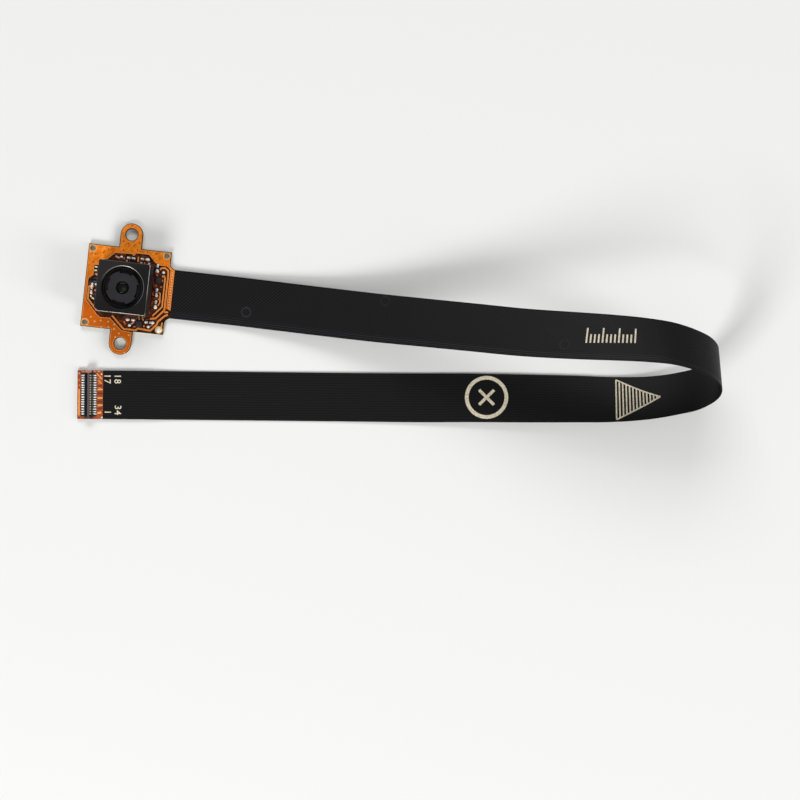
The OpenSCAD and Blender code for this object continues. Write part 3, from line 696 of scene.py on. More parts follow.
def rim_of(name, shape):
    """A narrow raised border along every edge of a flat shape."""
    inner = bmesh.ops.inset_region(shape, faces=shape.faces[:], thickness=rim_width, depth=0,
                                   use_even_offset=True, use_boundary=True)
    border = {face for face in inner["faces"]
              if face.normal.z > 0.5 and not at_corner_hole(face.calc_center_median())}
    bmesh.ops.delete(shape, geom=[face for face in shape.faces if face not in border],
                     context="FACES")
    lift(shape, shape.verts, -rim_lift)
    thicken(shape, shape.faces[:], 2 * rim_lift)
    seat(close_mesh(name, shape, copper_rim_highlight), "module", "amber_flex")


# The lower ear's copper runs on across the slot beside the supply trace.
slot_corners = [Vector((0, -6.9)) * mm, Vector((0, -7.9)) * mm, Vector((1.75, -7.9)) * mm]
slot_shore = Vector((1.75, -7.05)) * mm
copper_shape = top_of("flex_board", copper_top, 0.005 * mm)
for vert in copper_shape.verts:
    if (vert.co.xy - slot_corners[1]).length < 0.01 * mm:
        vert.co.xy = slot_corners[0].lerp(slot_shore, 0.1)
    elif (vert.co.xy - slot_corners[2]).length < 0.01 * mm:
        vert.co.xy = slot_shore
rim_of("copper_rims", copper_shape)


def via(shape, x, y, radius, tone):
    """A low ring round a filled hole, as two stacked cones."""
    for foot, crown, height, slot in ((1.45, 1.0, 0.02 * mm, tone), (0.70, 0.60, 0.026 * mm, 2)):
        place = Matrix.Translation((x * mm, y * mm, copper_top + height / 2 - 0.003 * mm))
        cone = bmesh.ops.create_cone(shape, segments=via_sides, radius1=radius * foot,
                                     radius2=radius * crown, depth=height, cap_ends=True, matrix=place)
        for face in {face for vert in cone["verts"] for face in vert.link_faces}:
            face.material_index = slot


via_shape = bmesh.new()
for x, y in via_dots:
    via(via_shape, x, y, 0.095 * mm, 0 if y > 0 else 1)
for x, y in via_row:
    via(via_shape, x, y, 0.085 * mm, 1)
via_rings = close_mesh(
    "via_rings", via_shape,
    finish("shaded_via", mottled(0.15, (104, 44, 10), (150, 68, 18), 2), Roughness=0.35),
    finish("bright_via", mottled(0.15, (240, 168, 104), (255, 214, 160), 2), Roughness=0.35),
    finish("via_plug", mottled(0.15, (96, 38, 8), (150, 70, 24), 2), Roughness=0.35))
seat(via_rings, "module", "amber_flex")

tones = {"orange": (226, 112, 46), "red": (186, 66, 26), "tan": (178, 112, 70),
         "pink": (224, 158, 128), "cream": (234, 224, 188), "track": (134, 62, 24),
         "bright": (246, 160, 78), "shadow": (104, 42, 14)}
# Each bare pad: its middle, its length and width, its turn in degrees, and its tone.
bare_pads = [
    (-1.95, 5.15, 0.75, 0.32, -20, "pink"), (-0.83, 5.05, 0.22, 0.40, 0, "tan"),
    (-0.37, 4.70, 0.30, 0.22, 0, "pink"), (2.07, 4.64, 0.36, 0.24, -15, "pink"),
    (3.37, 4.66, 0.34, 0.24, 10, "pink"), (4.11, 4.02, 0.26, 0.40, 0, "tan"),
    (2.62, 4.62, 0.16, 0.34, 0, "orange"), (4.90, 2.86, 0.42, 0.32, 0, "red"),
    (4.88, 1.13, 0.42, 0.36, 0, "red"), (5.78, 0.97, 0.30, 0.20, 20, "tan"),
    (5.86, 2.70, 0.26, 0.24, 0, "tan"), (5.94, 2.05, 0.20, 0.34, 0, "tan"),
    (4.55, -0.35, 0.30, 0.55, 15, "red"), (4.62, -1.75, 0.26, 0.60, -10, "red"),
    (5.60, -1.10, 0.22, 0.26, 0, "orange"), (4.20, -3.40, 0.24, 0.46, 12, "tan"),
    (3.55, -4.22, 0.30, 0.26, 0, "tan"), (0.40, -5.62, 0.60, 0.24, -55, "orange"),
    (1.72, -5.52, 0.62, 0.20, 35, "pink"), (2.08, -6.07, 0.40, 0.20, 10, "tan"),
    (2.77, -4.72, 0.22, 0.30, 0, "pink"), (3.38, -4.74, 0.22, 0.32, 10, "pink"),
    (3.66, -5.82, 0.26, 0.26, 0, "orange"), (4.86, -5.62, 0.60, 0.18, 30, "tan"),
    (-5.32, 3.14, 0.46, 0.24, -8, "cream"), (-5.34, 2.55, 0.44, 0.24, 8, "cream"),
    (-5.16, 1.90, 0.40, 0.26, -35, "pink"), (-5.68, 0.30, 0.28, 0.26, 0, "pink"),
    (-5.02, 0.28, 0.22, 0.26, 0, "pink"), (-5.04, -0.76, 0.26, 0.24, 0, "pink"),
    (-5.66, -1.80, 0.34, 0.24, -55, "cream"), (-5.30, -2.12, 0.46, 0.24, -25, "cream"),
]
# Each fine track, as the points it passes.
fine_tracks = [
    [(-2.6, 5.5), (-1.6, 5.75), (-0.6, 5.6)], [(0.1, 4.55), (0.1, 4.95), (0.5, 5.7)],
    [(1.9, 5.75), (2.6, 5.75), (3.2, 5.5)], [(3.6, 4.4), (4.3, 4.5), (4.6, 4.2)],
    [(4.4, 3.2), (5.3, 3.2), (5.6, 2.9)], [(4.4, 2.5), (4.4, 1.4), (4.6, 0.8)],
    [(4.35, 0.2), (4.9, 0.0), (5.5, 0.1)], [(4.35, -1.0), (5.0, -1.15), (5.7, -0.6)],
    [(4.35, -2.3), (5.0, -2.2), (5.6, -1.9)], [(4.35, -2.9), (5.1, -2.95)],
    [(4.4, -4.0), (3.9, -3.75), (3.5, -3.9)], [(0.3, -4.6), (0.6, -5.2), (0.3, -6.1)],
    [(1.3, -5.35), (2.1, -5.1), (2.3, -4.6)], [(3.8, -4.6), (4.4, -4.6), (4.9, -4.2)],
    [(3.5, -6.1), (4.2, -6.35), (4.6, -6.1)], [(-0.6, -5.2), (0.1, -5.5)],
    [(-5.9, 3.5), (-5.0, 3.5)], [(-5.8, 0.0), (-5.0, -0.1)], [(-5.75, -1.45), (-5.0, -1.5)],
]


def tone_paint(wire):
    tone = wire.node("Attribute", {"attribute_name": "tone"}, (), "Color")
    mottle = grain(wire, 0.12 * mm, 4)
    colour = (mottle.step(0.5, 0.8) * 0.45).mix(tone, pale_copper_highlight)
    return {"Base Color": colour, "Roughness": 0.28 + mottle * 0.25, "Normal": bump(mottle, 0.01 * mm)}


def round_edges(shape, edges, width, segments=3, clamp=False):
    """Rounds edges to a width."""
    bmesh.ops.bevel(shape, geom=edges, offset=width, offset_type="OFFSET", affect="EDGES",
                    segments=segments, profile=0.5, material=-1, clamp_overlap=clamp)


def lay_pads(name, pads, tracks, level, thickness, place=Matrix.Identity(4)):
    """Small rounded pads and narrow tracks on a surface, each with its tone."""
    shape = bmesh.new()
    tone_layer = shape.verts.layers.float_color.new("tone")
    for x, y, length, width, turn, tone in pads:
        for vert in strip(shape, Vector((x, y)) * mm, length * mm, width * mm, math.radians(turn)):
            vert[tone_layer] = linear(*tones[tone])
    for points in tracks:
        for start, end in zip(points, points[1:]):
            for vert in bar(shape, Vector(start) * mm, Vector(end) * mm, trace_line):
                vert[tone_layer] = linear(*tones["track"])
    thicken(shape, shape.faces[:], thickness)
    uprights = [edge for edge in shape.edges
                if abs(edge.verts[0].co.z - edge.verts[1].co.z) > thickness / 2]
    round_edges(shape, uprights, pad_corner, clamp=True)
    shape.transform(place @ Matrix.Translation((0, 0, level)))
    pieces = close_mesh(name, shape, pad_finish)
    seat(pieces, "module", "amber_flex")
    return pieces


pad_finish = finish("bare_pads", tone_paint, Coat_Weight=0.3)
lay_pads("board_pads", bare_pads, fine_tracks, laminate_top, 0.03 * mm)

# A patch of copper closes the slot beside the supply trace, lapping its shores.
patch_shape = bmesh.new()
lap, touch = 0.03 * mm, 0.01 * mm
patch_corners = [slot_corners[0] - Vector((lap, 0)), slot_corners[1] - Vector((lap, lap)),
                 slot_corners[2] - Vector((touch, lap)), slot_shore - Vector((touch, touch))]
patch_top = patch_shape.faces.new([patch_shape.verts.new((*corner, copper_top + 0.002 * mm))
                                   for corner in patch_corners])
thicken(patch_shape, [patch_top], -0.05 * mm)
seat(close_mesh("ear_copper", patch_shape, coverlay), "module", "amber_flex")

# ---------------------------------------------------------------- Sensor and holder
# A polished silicon die bonded to the board, a moulded frame round it that is
# glued down, and a coated glass filter on the frame's ledge.

cell_pitch = 0.2 * mm


def die_paint(wire):
    x, y = place_of(wire).parts("XY")
    cells = ripple(x, cell_pitch) + ripple(y, cell_pitch)
    field = (abs(x) < 2.5 * mm) * (abs(y) < 2.0 * mm)
    colour = (field * cells.step(0.2, 0.9)).mix((58, 60, 72), (48, 84, 96))
    return {"Base Color": colour, "Roughness": 0.12 + grain(wire, 0.5 * mm) * 0.1}


def moulding_paint(wire):
    specks = grain(wire, 0.12 * mm, 4)
    cloud = grain(wire, 2 * mm, 2)
    return {"Base Color": specks.mix((36, 37, 38), (52, 52, 54)),
            "Roughness": 0.42 + cloud * 0.16, "Normal": bump(specks, 0.004 * mm)}


black_moulding = finish("black_moulding", moulding_paint, Specular_IOR_Level=0.4)
dress("image_sensor", finish("silicon_die", die_paint, Coat_Weight=0.6))
dress("sensor_holder", black_moulding)
dress("infrared_filter", finish("coated_filter", mottled(3, (190, 226, 236), (206, 232, 226)),
                                Roughness=0.03, Transmission_Weight=1.0, IOR=1.52))

# ---------------------------------------------------------------- The actuator
# A moulded base with four corner posts, two bronze leaf springs, four plated
# magnets and a clamp frame, stacked and glued, with the coil's two pins outside.

wire_pitch = 0.05 * mm


def winding_paint(wire):
    height = place_of(wire).parts("Z")[0]
    turns = ripple(height, wire_pitch).step(0.1, 0.45)
    return {"Base Color": turns.mix((186, 104, 60), (112, 52, 26)),
            "Roughness": 0.3 + turns * 0.2, "Normal": bump(1 - turns, 0.01 * mm)}


spring_bronze = finish("spring_bronze", mottled(0.6, (176, 132, 78), (214, 174, 116),
                                                rough=(0.25, 0.2), stretch=(0.2, 3, 1)), Metallic=1.0)
dress("actuator_base", black_moulding)
dress("actuator_terminals", spring_bronze)
dress("magnets", finish("nickel_plating", mottled(0.8, (150, 150, 154), (190, 190, 192), 4,
                                                  rough=(0.22, 0.2)), Metallic=1.0))
dress("spring_clamp", black_moulding)
dress("voice_coil", finish("enamelled_wire", winding_paint, Metallic=0.6, Coat_Weight=0.6))


def leaf_spring(name, node):
    """A copy of a spring's CAD node, left in its place in the stead of the node. In the real module its
    frame sits on the base and its ring on the carrier.
    """
    spring = close_mesh(name, shape_of(node, 0.0005), spring_bronze)
    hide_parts(node)
    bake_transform(spring)


leaf_spring("lower_spring", "lower_leaf_spring")
leaf_spring("upper_spring", "upper_leaf_spring")

# ---------------------------------------------------------------- Lens barrel
# A moulded barrel turned into the carrier by its four lugs and then glued, with
# its small front aperture, the glossy front element and the elements behind it.

axis = (0, 0, 1)
barrel_low, barrel_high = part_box("lens_barrel")
barrel_front = barrel_high.z
barrel_radius = barrel_high.x
barrel_edge = 0.05 * mm
face_radius = 2.4 * mm
aperture_radius = 1.0 * mm
chamfer_radius = aperture_radius + 0.14 * mm
inner_radius = 1.52 * mm
stop_radius, stop_height = 2.2 * mm, 1.6 * mm
rear_radius, rear_height = 2.45 * mm, 1.0 * mm
shoulder_height = 2.0 * mm
front_wall = 0.4 * mm
lug_seat = barrel_front - 0.4 * mm
lug_radius = 2.72 * mm
lug_turn = 37
lug_spread = 42
lug_root = face_radius - 0.3 * mm
lug_edge = 0.035 * mm
face_ring_pitch = 0.16 * mm


def revolve(shape, profile, steps=128, closed=True):
    """Turns a profile of radius and height about the optical axis."""
    verts = [shape.verts.new((radius, 0, height)) for radius, height in profile]
    onward = verts[1:] + verts[:1] if closed else verts[1:]
    edges = [shape.edges.new(pair) for pair in zip(verts, onward)]
    bmesh.ops.spin(shape, geom=verts + edges, cent=(0, 0, 0), axis=axis,
                   angle=2 * math.pi, steps=steps, use_merge=True)
    bmesh.ops.remove_doubles(shape, verts=shape.verts, dist=0.0005 * mm)


def turned_edges(shape, least):
    """The edges where two faces turn by more than an angle."""
    return [edge for edge in shape.edges
            if len(edge.link_faces) == 2 and edge.calc_face_angle(0) > math.radians(least)]


def shade(shape, least=28):
    """Shades smoothly but for edges that turn by more than an angle."""
    bmesh.ops.recalc_face_normals(shape, faces=shape.faces)
    for face in shape.faces:
        face.smooth = True
    for edge in turned_edges(shape, least):
        edge.smooth = False


def join_in(shape, part):
    """Adds the faces of a part to a shape."""
    mesh = bpy.data.meshes.new("part")
    part.to_mesh(mesh)
    part.free()
    shape.from_mesh(mesh)
    bpy.data.meshes.remove(mesh)


def barrel_paint(wire):
    x, y, z = place_of(wire).parts()
    rings = ripple(distance(x, y), face_ring_pitch)
    specks = grain(wire, 0.1 * mm, 4)
    # The front face's lighter tone, with its specks, is painted light; the near black of the shoulder and
    # sides is painted shade in the recess.
    on_face = z.step(barrel_front - 0.08 * mm, barrel_front - 0.02 * mm)
    wear_and_painted_light = specks.mix((34, 33, 35), (45, 44, 46))
    return {"Base Color": on_face.mix((12, 12, 12), wear_and_painted_light),
            "Roughness": 0.62 - on_face * 0.16 + specks * 0.1,
            "Normal": bump(rings * 0.5 + specks * 0.5, 0.004 * mm)}


barrel_shape = bmesh.new()
revolve(barrel_shape, [
    (aperture_radius, barrel_front - 0.16 * mm), (chamfer_radius, barrel_front - 0.02 * mm),
    (chamfer_radius + 0.04 * mm, barrel_front), (face_radius - barrel_edge, barrel_front),
    (face_radius, barrel_front - barrel_edge), (face_radius, lug_seat),
    (barrel_radius - barrel_edge, lug_seat), (barrel_radius, lug_seat - barrel_edge),
    (barrel_radius, barrel_low.z + barrel_edge), (barrel_radius - barrel_edge, barrel_low.z),
    (rear_radius, barrel_low.z), (rear_radius, barrel_low.z + rear_height),
    (stop_radius, barrel_low.z + rear_height), (stop_radius, barrel_low.z + stop_height),
    (inner_radius, barrel_low.z + shoulder_height),
    (inner_radius, barrel_front - front_wall), (aperture_radius, barrel_front - front_wall)])
for quarter in range(4):
    lug = bmesh.new()
    wedge = [lug.verts.new((radius, 0, height)) for radius, height in (
        (lug_root, lug_seat - 0.01 * mm), (lug_radius, lug_seat - 0.01 * mm),
        (lug_radius, barrel_front - 0.001 * mm), (lug_root, barrel_front - 0.001 * mm))]
    lug.faces.new(wedge)
    bmesh.ops.spin(lug, geom=lug.faces[:], cent=(0, 0, 0), axis=axis,
                   angle=math.radians(lug_spread), steps=14)
    bmesh.ops.recalc_face_normals(lug, faces=lug.faces)
    round_edges(lug, turned_edges(lug, 40), lug_edge, clamp=True)
    turn = math.radians(lug_turn + 90 * quarter - lug_spread / 2)
    lug.transform(Matrix.Rotation(turn, 4, "Z"))
    join_in(barrel_shape, lug)
shade(barrel_shape)
barrel = close_mesh("moulded_barrel", barrel_shape, finish("barrel_moulding", barrel_paint,
                                                           Specular_IOR_Level=0.15))
seat(barrel, "lens_group", "black_moulding", "lens_barrel")


def front_reflection_paint(wire):
    x, y = place_of(wire).parts("XY")
    # A faint green spot towards the lower right is a painted reflection. Beyond 0.55 mm from the middle the
    # colour turns darker towards the aperture's edge.
    painted_green_reflection = distance(x, y, (0.30 * mm, -0.28 * mm)).step(0.05 * mm, 0.6 * mm, 1, 0)
    colour = painted_green_reflection.mix((17, 17, 15), (32, 47, 33))
    colour = distance(x, y).step(0.55 * mm, 0.95 * mm).mix(colour, (8, 8, 8))
    return {"Base Color": colour, "Roughness": 0.06 + grain(wire, 0.4 * mm) * 0.05}


# The front element is a disc with a flat rim, and a dome as wide as the aperture.
front_low, front_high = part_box("front_lens")
dome_rise = 0.3 * mm
dome_foot = front_high.z - dome_rise
dome = [(aperture_radius * math.sin(angle), dome_foot + dome_rise * math.cos(angle))
        for angle in (math.radians(9 * k) for k in range(11))]
front_shape = bmesh.new()
revolve(front_shape, dome + [(front_high.x, dome_foot), (front_high.x, front_low.z), (0, front_low.z)],
        steps=96, closed=False)
shade(front_shape, 40)
front_element = close_mesh("front_element", front_shape,
                           finish("front_element_with_painted_reflection", front_reflection_paint, Specular_IOR_Level=0.12))
seat(front_element, "lens_group", "lens_plastic", "front_lens")
inner_glass = finish("inner_element_coating", mottled(1.5, (176, 192, 206), (190, 206, 214), 1),
                     Roughness=0.02, Transmission_Weight=1.0, IOR=1.54, Coat_Weight=0.5,
                     Coat_Roughness=0.02)
for name in ("second_lens", "third_lens", "fourth_lens", "rear_lens"):
    dress(name, inner_glass)
dress("baffle_sheets", finish("black_baffle", mottled(0.2, (20, 20, 21), (30, 30, 31)), Roughness=0.7))
dress("lens_retainer", black_moulding)

# ---------------------------------------------------------------- Lens carrier
# The moulded sleeve that the barrel screws into. Its two flanges hold the coil
# and the springs' rings, and only its upper rim shows inside the can's opening.

carrier_low, carrier_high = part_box("lens_carrier")
bore_radius = 3.0 * mm
neck_radius = 3.35 * mm
bead_radius = 3.50 * mm
flange_radius = carrier_high.x
flange_height = 0.25 * mm
lower_flange, upper_flange = [corner.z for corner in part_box("voice_coil")]
spring_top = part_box("upper_leaf_spring")[1].z
bead_foot = spring_top - 0.08 * mm
bead_top = spring_top + 0.10 * mm
bead_root = neck_radius - 0.01 * mm

carrier_shape = bmesh.new()
revolve(carrier_shape, [
    (bore_radius, carrier_low.z), (neck_radius, carrier_low.z),
    (neck_radius, lower_flange - flange_height), (flange_radius, lower_flange - flange_height),
    (flange_radius, lower_flange), (neck_radius, lower_flange), (neck_radius, upper_flange),
    (flange_radius, upper_flange), (flange_radius, upper_flange + flange_height),
    (neck_radius, upper_flange + flange_height), (neck_radius, carrier_high.z - 0.05 * mm),
    (neck_radius - 0.05 * mm, carrier_high.z), (bore_radius + 0.06 * mm, carrier_high.z),
    (bore_radius, carrier_high.z - 0.06 * mm)])
shade(carrier_shape)
# Near black, darker than the other mouldings: painted shade in the gap inside the can's opening, on the
# carrier and on the adhesive bead.
black_in_painted_shade = finish("moulding_in_painted_shade", mottled(0.12, (10, 10, 10), (20, 20, 20)), Roughness=0.7,
                    Specular_IOR_Level=0.2)
seat(close_mesh("moulded_carrier", carrier_shape, black_in_painted_shade),
     "lens_group", "black_moulding", "lens_carrier")

# A bead of adhesive holds the upper spring's ring down round the carrier's neck.
bead_shape = bmesh.new()
revolve(bead_shape, [(bead_root, bead_foot), (bead_radius, bead_foot),
                     (bead_radius, bead_top - 0.04 * mm), (bead_radius - 0.06 * mm, bead_top),
                     (bead_root, bead_top)])
shade(bead_shape)
seat(close_mesh("spring_adhesive", bead_shape, black_in_painted_shade), "lens_group", "black_epoxy")

# ---------------------------------------------------------------- The can
# A cover drawn from thin steel sheet and coated satin black, with a rolled rim
# round its opening and one corner cut as a key. It is glued over the base.

can_low, can_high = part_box("actuator_can")
can_wall = 0.2 * mm
can_corner = 0.3 * mm
can_key = 0.6 * mm
opening_radius = 3.5 * mm
can_roll = 0.12 * mm
rim_roll = 0.14 * mm


def can_paint(wire):
    x, y, z = place_of(wire).parts()
    orange_peel = grain(wire, 0.22 * mm, 3)
    specks = grain(wire, 0.09 * mm, 4, seed=0.3).step(0.62, 0.74)
    scuff = grain(wire, 0.7 * mm, 5, stretch=(1, 0.2, 1), seed=0.7).step(0.62, 0.80)
    below_top = z.step(can_high.z - 0.002 * mm, can_high.z - 0.012 * mm)
    in_roll = z.step(can_high.z - 0.17 * mm, can_high.z - 0.11 * mm)
    # The bare metal of the rolled rims goes where the lamps' highlights fall: the upper right of the
    # opening's roll, the near edge and the right edge, with a little elsewhere. Its patches are wear, and
    # its placing is painted highlight.
    at_opening = distance(x, y) < opening_radius + 0.3 * mm
    far_half = (x * 0.55 + y * 0.83).step(-1.6 * mm, 2.2 * mm)
    near_rim = y.step(-3.7 * mm, -4.0 * mm)
    right_rim = x.step(3.7 * mm, 4.0 * mm) * y.step(-2.5 * mm, 1.0 * mm)
    brightening = at_opening.node("Mix", (), {0: at_opening, 2: near_rim * 0.75 + right_rim + 0.12, 3: far_half})
    patches = grain(wire, 0.9 * mm, 3, seed=0.5).step(0.15, 0.5)
    wear_and_painted_light = below_top * in_roll * patches * brightening
    colour = (specks * 0.35).mix((22, 22, 23), (44, 44, 47))
    colour = (scuff * 0.4).mix(colour, (38, 38, 41))
    # Lighter towards the upper left: painted light.
    colour = ((y - x).step(-1 * mm, 6 * mm) * 0.7).mix(colour, (42, 41, 40))
    colour = wear_and_painted_light.mix(colour, (176, 171, 165))
    return {"Base Color": colour, "Roughness": 0.42 + orange_peel * 0.12 - wear_and_painted_light * 0.08,
            "Metallic": wear_and_painted_light, "Normal": bump(orange_peel, 0.004 * mm)}


can_shape = bmesh.new()
bmesh.ops.create_grid(can_shape, x_segments=1, y_segments=1, size=can_high.x)
key = [vert for vert in can_shape.verts if vert.co.x < 0 and vert.co.y < 0]
others = [vert for vert in can_shape.verts if vert not in key]
for corners, cut, segments in ((others, can_corner, 6), (key, can_key, 1)):
    bmesh.ops.bevel(can_shape, geom=corners, offset=cut, offset_type="OFFSET", affect="VERTICES",
                    segments=segments, profile=0.5, material=-1)
lift(can_shape, can_shape.verts, can_high.z)
sheet_edges = can_shape.edges[:]
bmesh.ops.delete(can_shape, geom=can_shape.faces[:], context="FACES_ONLY")
opening = bmesh.ops.create_circle(can_shape, radius=opening_radius, segments=128,
                                  matrix=Matrix.Translation((0, 0, can_high.z)))["verts"]
opening_edges = list(dict.fromkeys(edge for vert in opening for edge in vert.link_edges))
bmesh.ops.triangle_fill(can_shape, use_beauty=True, use_dissolve=False, normal=(0, 0, 1),
                        edges=sheet_edges + opening_edges)
bmesh.ops.recalc_face_normals(can_shape, faces=can_shape.faces)
draw_walls(can_shape, sheet_edges, can_low.z - can_high.z)
bmesh.ops.recalc_face_normals(can_shape, faces=can_shape.faces)
if max(can_shape.faces, key=lambda face: face.calc_center_median().z).normal.z < 0:
    bmesh.ops.reverse_faces(can_shape, faces=can_shape.faces)
bmesh.ops.solidify(can_shape, geom=can_shape.faces[:], thickness=can_wall)

# The sheet's upper edges are rolled, round the outside and then round the opening.
for inside, radius in ((False, can_roll), (True, rim_roll)):
    rolled = []
    for edge in turned_edges(can_shape, 40):
        spot = (edge.verts[0].co + edge.verts[1].co) / 2
        if spot.z > can_high.z - 0.01 * mm and inside == (spot.xy.length < opening_radius + can_wall):
            rolled.append(edge)
    round_edges(can_shape, rolled, radius, segments=5)
shade(can_shape, 35)
can = close_mesh("drawn_can", can_shape, finish("satin_black_coat", can_paint,
                                                Specular_IOR_Level=0.13))
seat(can, "module", "black_can", "actuator_can")

# ---------------------------------------------------------------- Chips and joints
# Fired ceramic chips with tinned ends, glazed resistors, two moulded circuits,
# the round joints that hold them, a dab of epoxy and one solder-filled hole.

chip_edge = 0.02 * mm
cap_length = 0.14 * mm
cap_edge = 0.025 * mm
cap_proud = 0.012 * mm
circuit_edge = 0.04 * mm
dimple_inset = 0.2 * mm
dimple_radius = 0.075 * mm
dimple_rise = 0.006 * mm
joint_half = Vector((0.26, 0.23, 0.17)) * mm
# Each blob of the dab: its middle, its half-sizes along and across, and its height.
dab_blobs = ((-5.72, 1.00, 0.66, 0.46, 0.26), (-5.15, 0.98, 0.92, 0.60, 0.44),
             (-4.60, 0.92, 0.56, 0.56, 0.62))


def solids_of(name):
    """The separate solids of a CAD node, each as its lowest and highest corner."""
    shape = shape_of(name, 0.001)
    waiting, found = set(shape.verts), []
    while waiting:
        group, front = set(), {waiting.pop()}
        while front:
            vert = front.pop()
            group.add(vert)
            front |= {edge.other_vert(vert) for edge in vert.link_edges} - group
        waiting -= group
        found.append((Vector([min(vert.co[k] for vert in group) for k in range(3)]),
                      Vector([max(vert.co[k] for vert in group) for k in range(3)])))
    shape.free()
    return sorted(found, key=lambda pair: tuple(pair[0]))


def block(shape, low, high, width, slot=0):
    """A block with rounded edges between two corners."""
    place = Matrix.Translation((low + high) / 2) @ Matrix.Diagonal((*(high - low), 1))
    cube = bmesh.ops.create_cube(shape, size=1, matrix=place)["verts"]
    for face in {face for vert in cube for face in vert.link_faces}:
        face.material_index = slot
    edges = dict.fromkeys(edge for vert in cube for edge in vert.link_edges)
    round_edges(shape, list(edges), width)


solder = finish("bright_solder", mottled(0.12, (222, 221, 216), (252, 251, 247), 4,
                                         rough=(0.20, 0.22), relief=0.015), Metallic=0.35)
ceramic = finish("fired_ceramic", mottled(0.06, (86, 58, 40), (122, 90, 66), 4, rough=(0.4, 0.15)),
                 Coat_Weight=0.2)
glaze = finish("glazed_top", mottled(0.08, (26, 26, 29), (42, 42, 46), 3, rough=(0.2, 0.15)),
               Coat_Weight=0.4)
circuit_mould = finish("circuit_moulding", mottled(0.05, (28, 28, 31), (50, 50, 54), 4,
                                                   rough=(0.5, 0.2), relief=0.004),
                       Specular_IOR_Level=0.35)


def lobe(shape, middle, radii, level):
    """A dome with a rounded foot, cut flat at a level."""
    ball = bmesh.new()
    bmesh.ops.create_icosphere(ball, subdivisions=3, radius=1)
    bmesh.ops.scale(ball, vec=radii, verts=ball.verts)
    bmesh.ops.translate(ball, vec=(middle.x, middle.y, level), verts=ball.verts)
    cut = bmesh.ops.bisect_plane(ball, geom=ball.verts[:] + ball.edges[:] + ball.faces[:],
                                 plane_co=(0, 0, level), plane_no=(0, 0, -1), clear_outer=True)
    rim = [item for item in cut["geom_cut"] if isinstance(item, bmesh.types.BMEdge)]
    bmesh.ops.holes_fill(ball, edges=rim, sides=0)
    join_in(shape, ball)


def chip_row(name, node, body, slot):
    """Chips with a body of one finish and a tinned cap on each end."""
    shape = bmesh.new()
    for low, high in solids_of(node):
        lengthwise = 0 if high.x - low.x > high.y - low.y else 1
        proud = Vector((cap_proud, cap_proud, cap_proud))
        block(shape, low + proud / 2, high - proud, chip_edge)
        near_end, far_end = high.copy(), low.copy()
        near_end[lengthwise] = low[lengthwise] + cap_length
        far_end[lengthwise] = high[lengthwise] - cap_length
        block(shape, low, near_end, cap_edge, 1)
        block(shape, far_end, high, cap_edge, 1)
    shade(shape, 50)
    seat(close_mesh(name, shape, body, solder), "module", slot, node)


chip_row("ceramic_chips", "chip_capacitors", ceramic, "capacitor_ceramic")
chip_row("glazed_chips", "chip_resistors", glaze, "resistor_black")
lobe_shape = bmesh.new()
for k, (low, high) in enumerate(solids_of("solder_joints")):
    swell = 1 + 0.14 * math.sin(2.4 * k)
    reach = (joint_half.x * swell, joint_half.y * swell, joint_half.z)
    lobe(lobe_shape, (low + high) / 2, reach, laminate_top)
shade(lobe_shape, 60)
seat(close_mesh("solder_lobes", lobe_shape, solder), "module", "solder", "solder_joints")
dress("corner_solder", finish("dull_solder", lambda wire: {
    "Base Color": grain(wire, 0.2 * mm, 3).mix((214, 206, 190), (246, 240, 226)),
    "Normal": bump(grain(wire, 0.15 * mm, 3), 0.02 * mm)}, Roughness=0.4, Metallic=0.2))


def moulded_circuit(name, node):
    """A small moulded circuit with a dimple at its first pin."""
    shape = bmesh.new()
    low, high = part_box(node)
    block(shape, low, high, circuit_edge)
    dot = Matrix.Translation((low.x + dimple_inset, high.y - dimple_inset, high.z + dimple_rise / 3))
    bmesh.ops.create_cone(shape, segments=20, radius1=dimple_radius, radius2=dimple_radius * 0.8,
                          depth=dimple_rise, cap_ends=True, matrix=dot)
    shade(shape, 50)
    seat(close_mesh(name, shape, circuit_mould), "module", "chip_black", node)


moulded_circuit("focus_driver", "driver_chip")
moulded_circuit("supply_regulator", "regulator_chip")

dab_shape = bmesh.new()
for x, y, *reach in dab_blobs:
    lobe(dab_shape, Vector((x, y)) * mm, Vector(reach) * mm, laminate_top)
dab_finish = finish("black_epoxy_dab", mottled(0.3, (12, 11, 11), (24, 20, 18)), Roughness=0.35,
                    Specular_IOR_Level=0.2)
dab = close_mesh("epoxy_dab", dab_shape, dab_finish)
flow = dab.modifiers.new("flow", "REMESH")
flow.mode = "VOXEL"
flow.voxel_size = 0.04 * mm
flow.use_smooth_shade = True
settle = dab.modifiers.new("settle", "SMOOTH")
settle.factor = 0.5
settle.iterations = 10
seat(dab, "module", "black_epoxy", "edge_glue")

# ---------------------------------------------------------------- The connector end
# The bare amber end of the strip, stiffened underneath, with the moulded socket,
# its two rows of gold-plated contacts and its two hold-down tabs, all soldered.

end_turn = math.atan2(0.6, 5.9)
end_place = Matrix.Translation((-1.9 * mm, -17.9 * mm, 0)) @ Matrix.Rotation(end_turn, 4, "Z")
end_back = end_place.inverted()
end_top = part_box("flex_end")[1].z
socket_low, socket_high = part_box("connector_housing")
socket_middle = -2.34 * mm
socket_width = 1.3 * mm
socket_wall = 0.14 * mm
socket_end_wall = 0.35 * mm
socket_floor = socket_low.z + 0.10 * mm
socket_edge = 0.03 * mm
spine_width = 0.34 * mm
contact_pitch = 0.4 * mm
contact_count = 17
contact_reach = 0.62 * mm
fillet_from_middle = 0.95 * mm
fillet_half = Vector((0.33, 0.125, 0.17)) * mm
end_bed = end_top - 0.03 * mm
tab_from_end = 0.20 * mm
tab_edge = 0.03 * mm
tab_half = Vector((0.52, 0.19, 0.07)) * mm


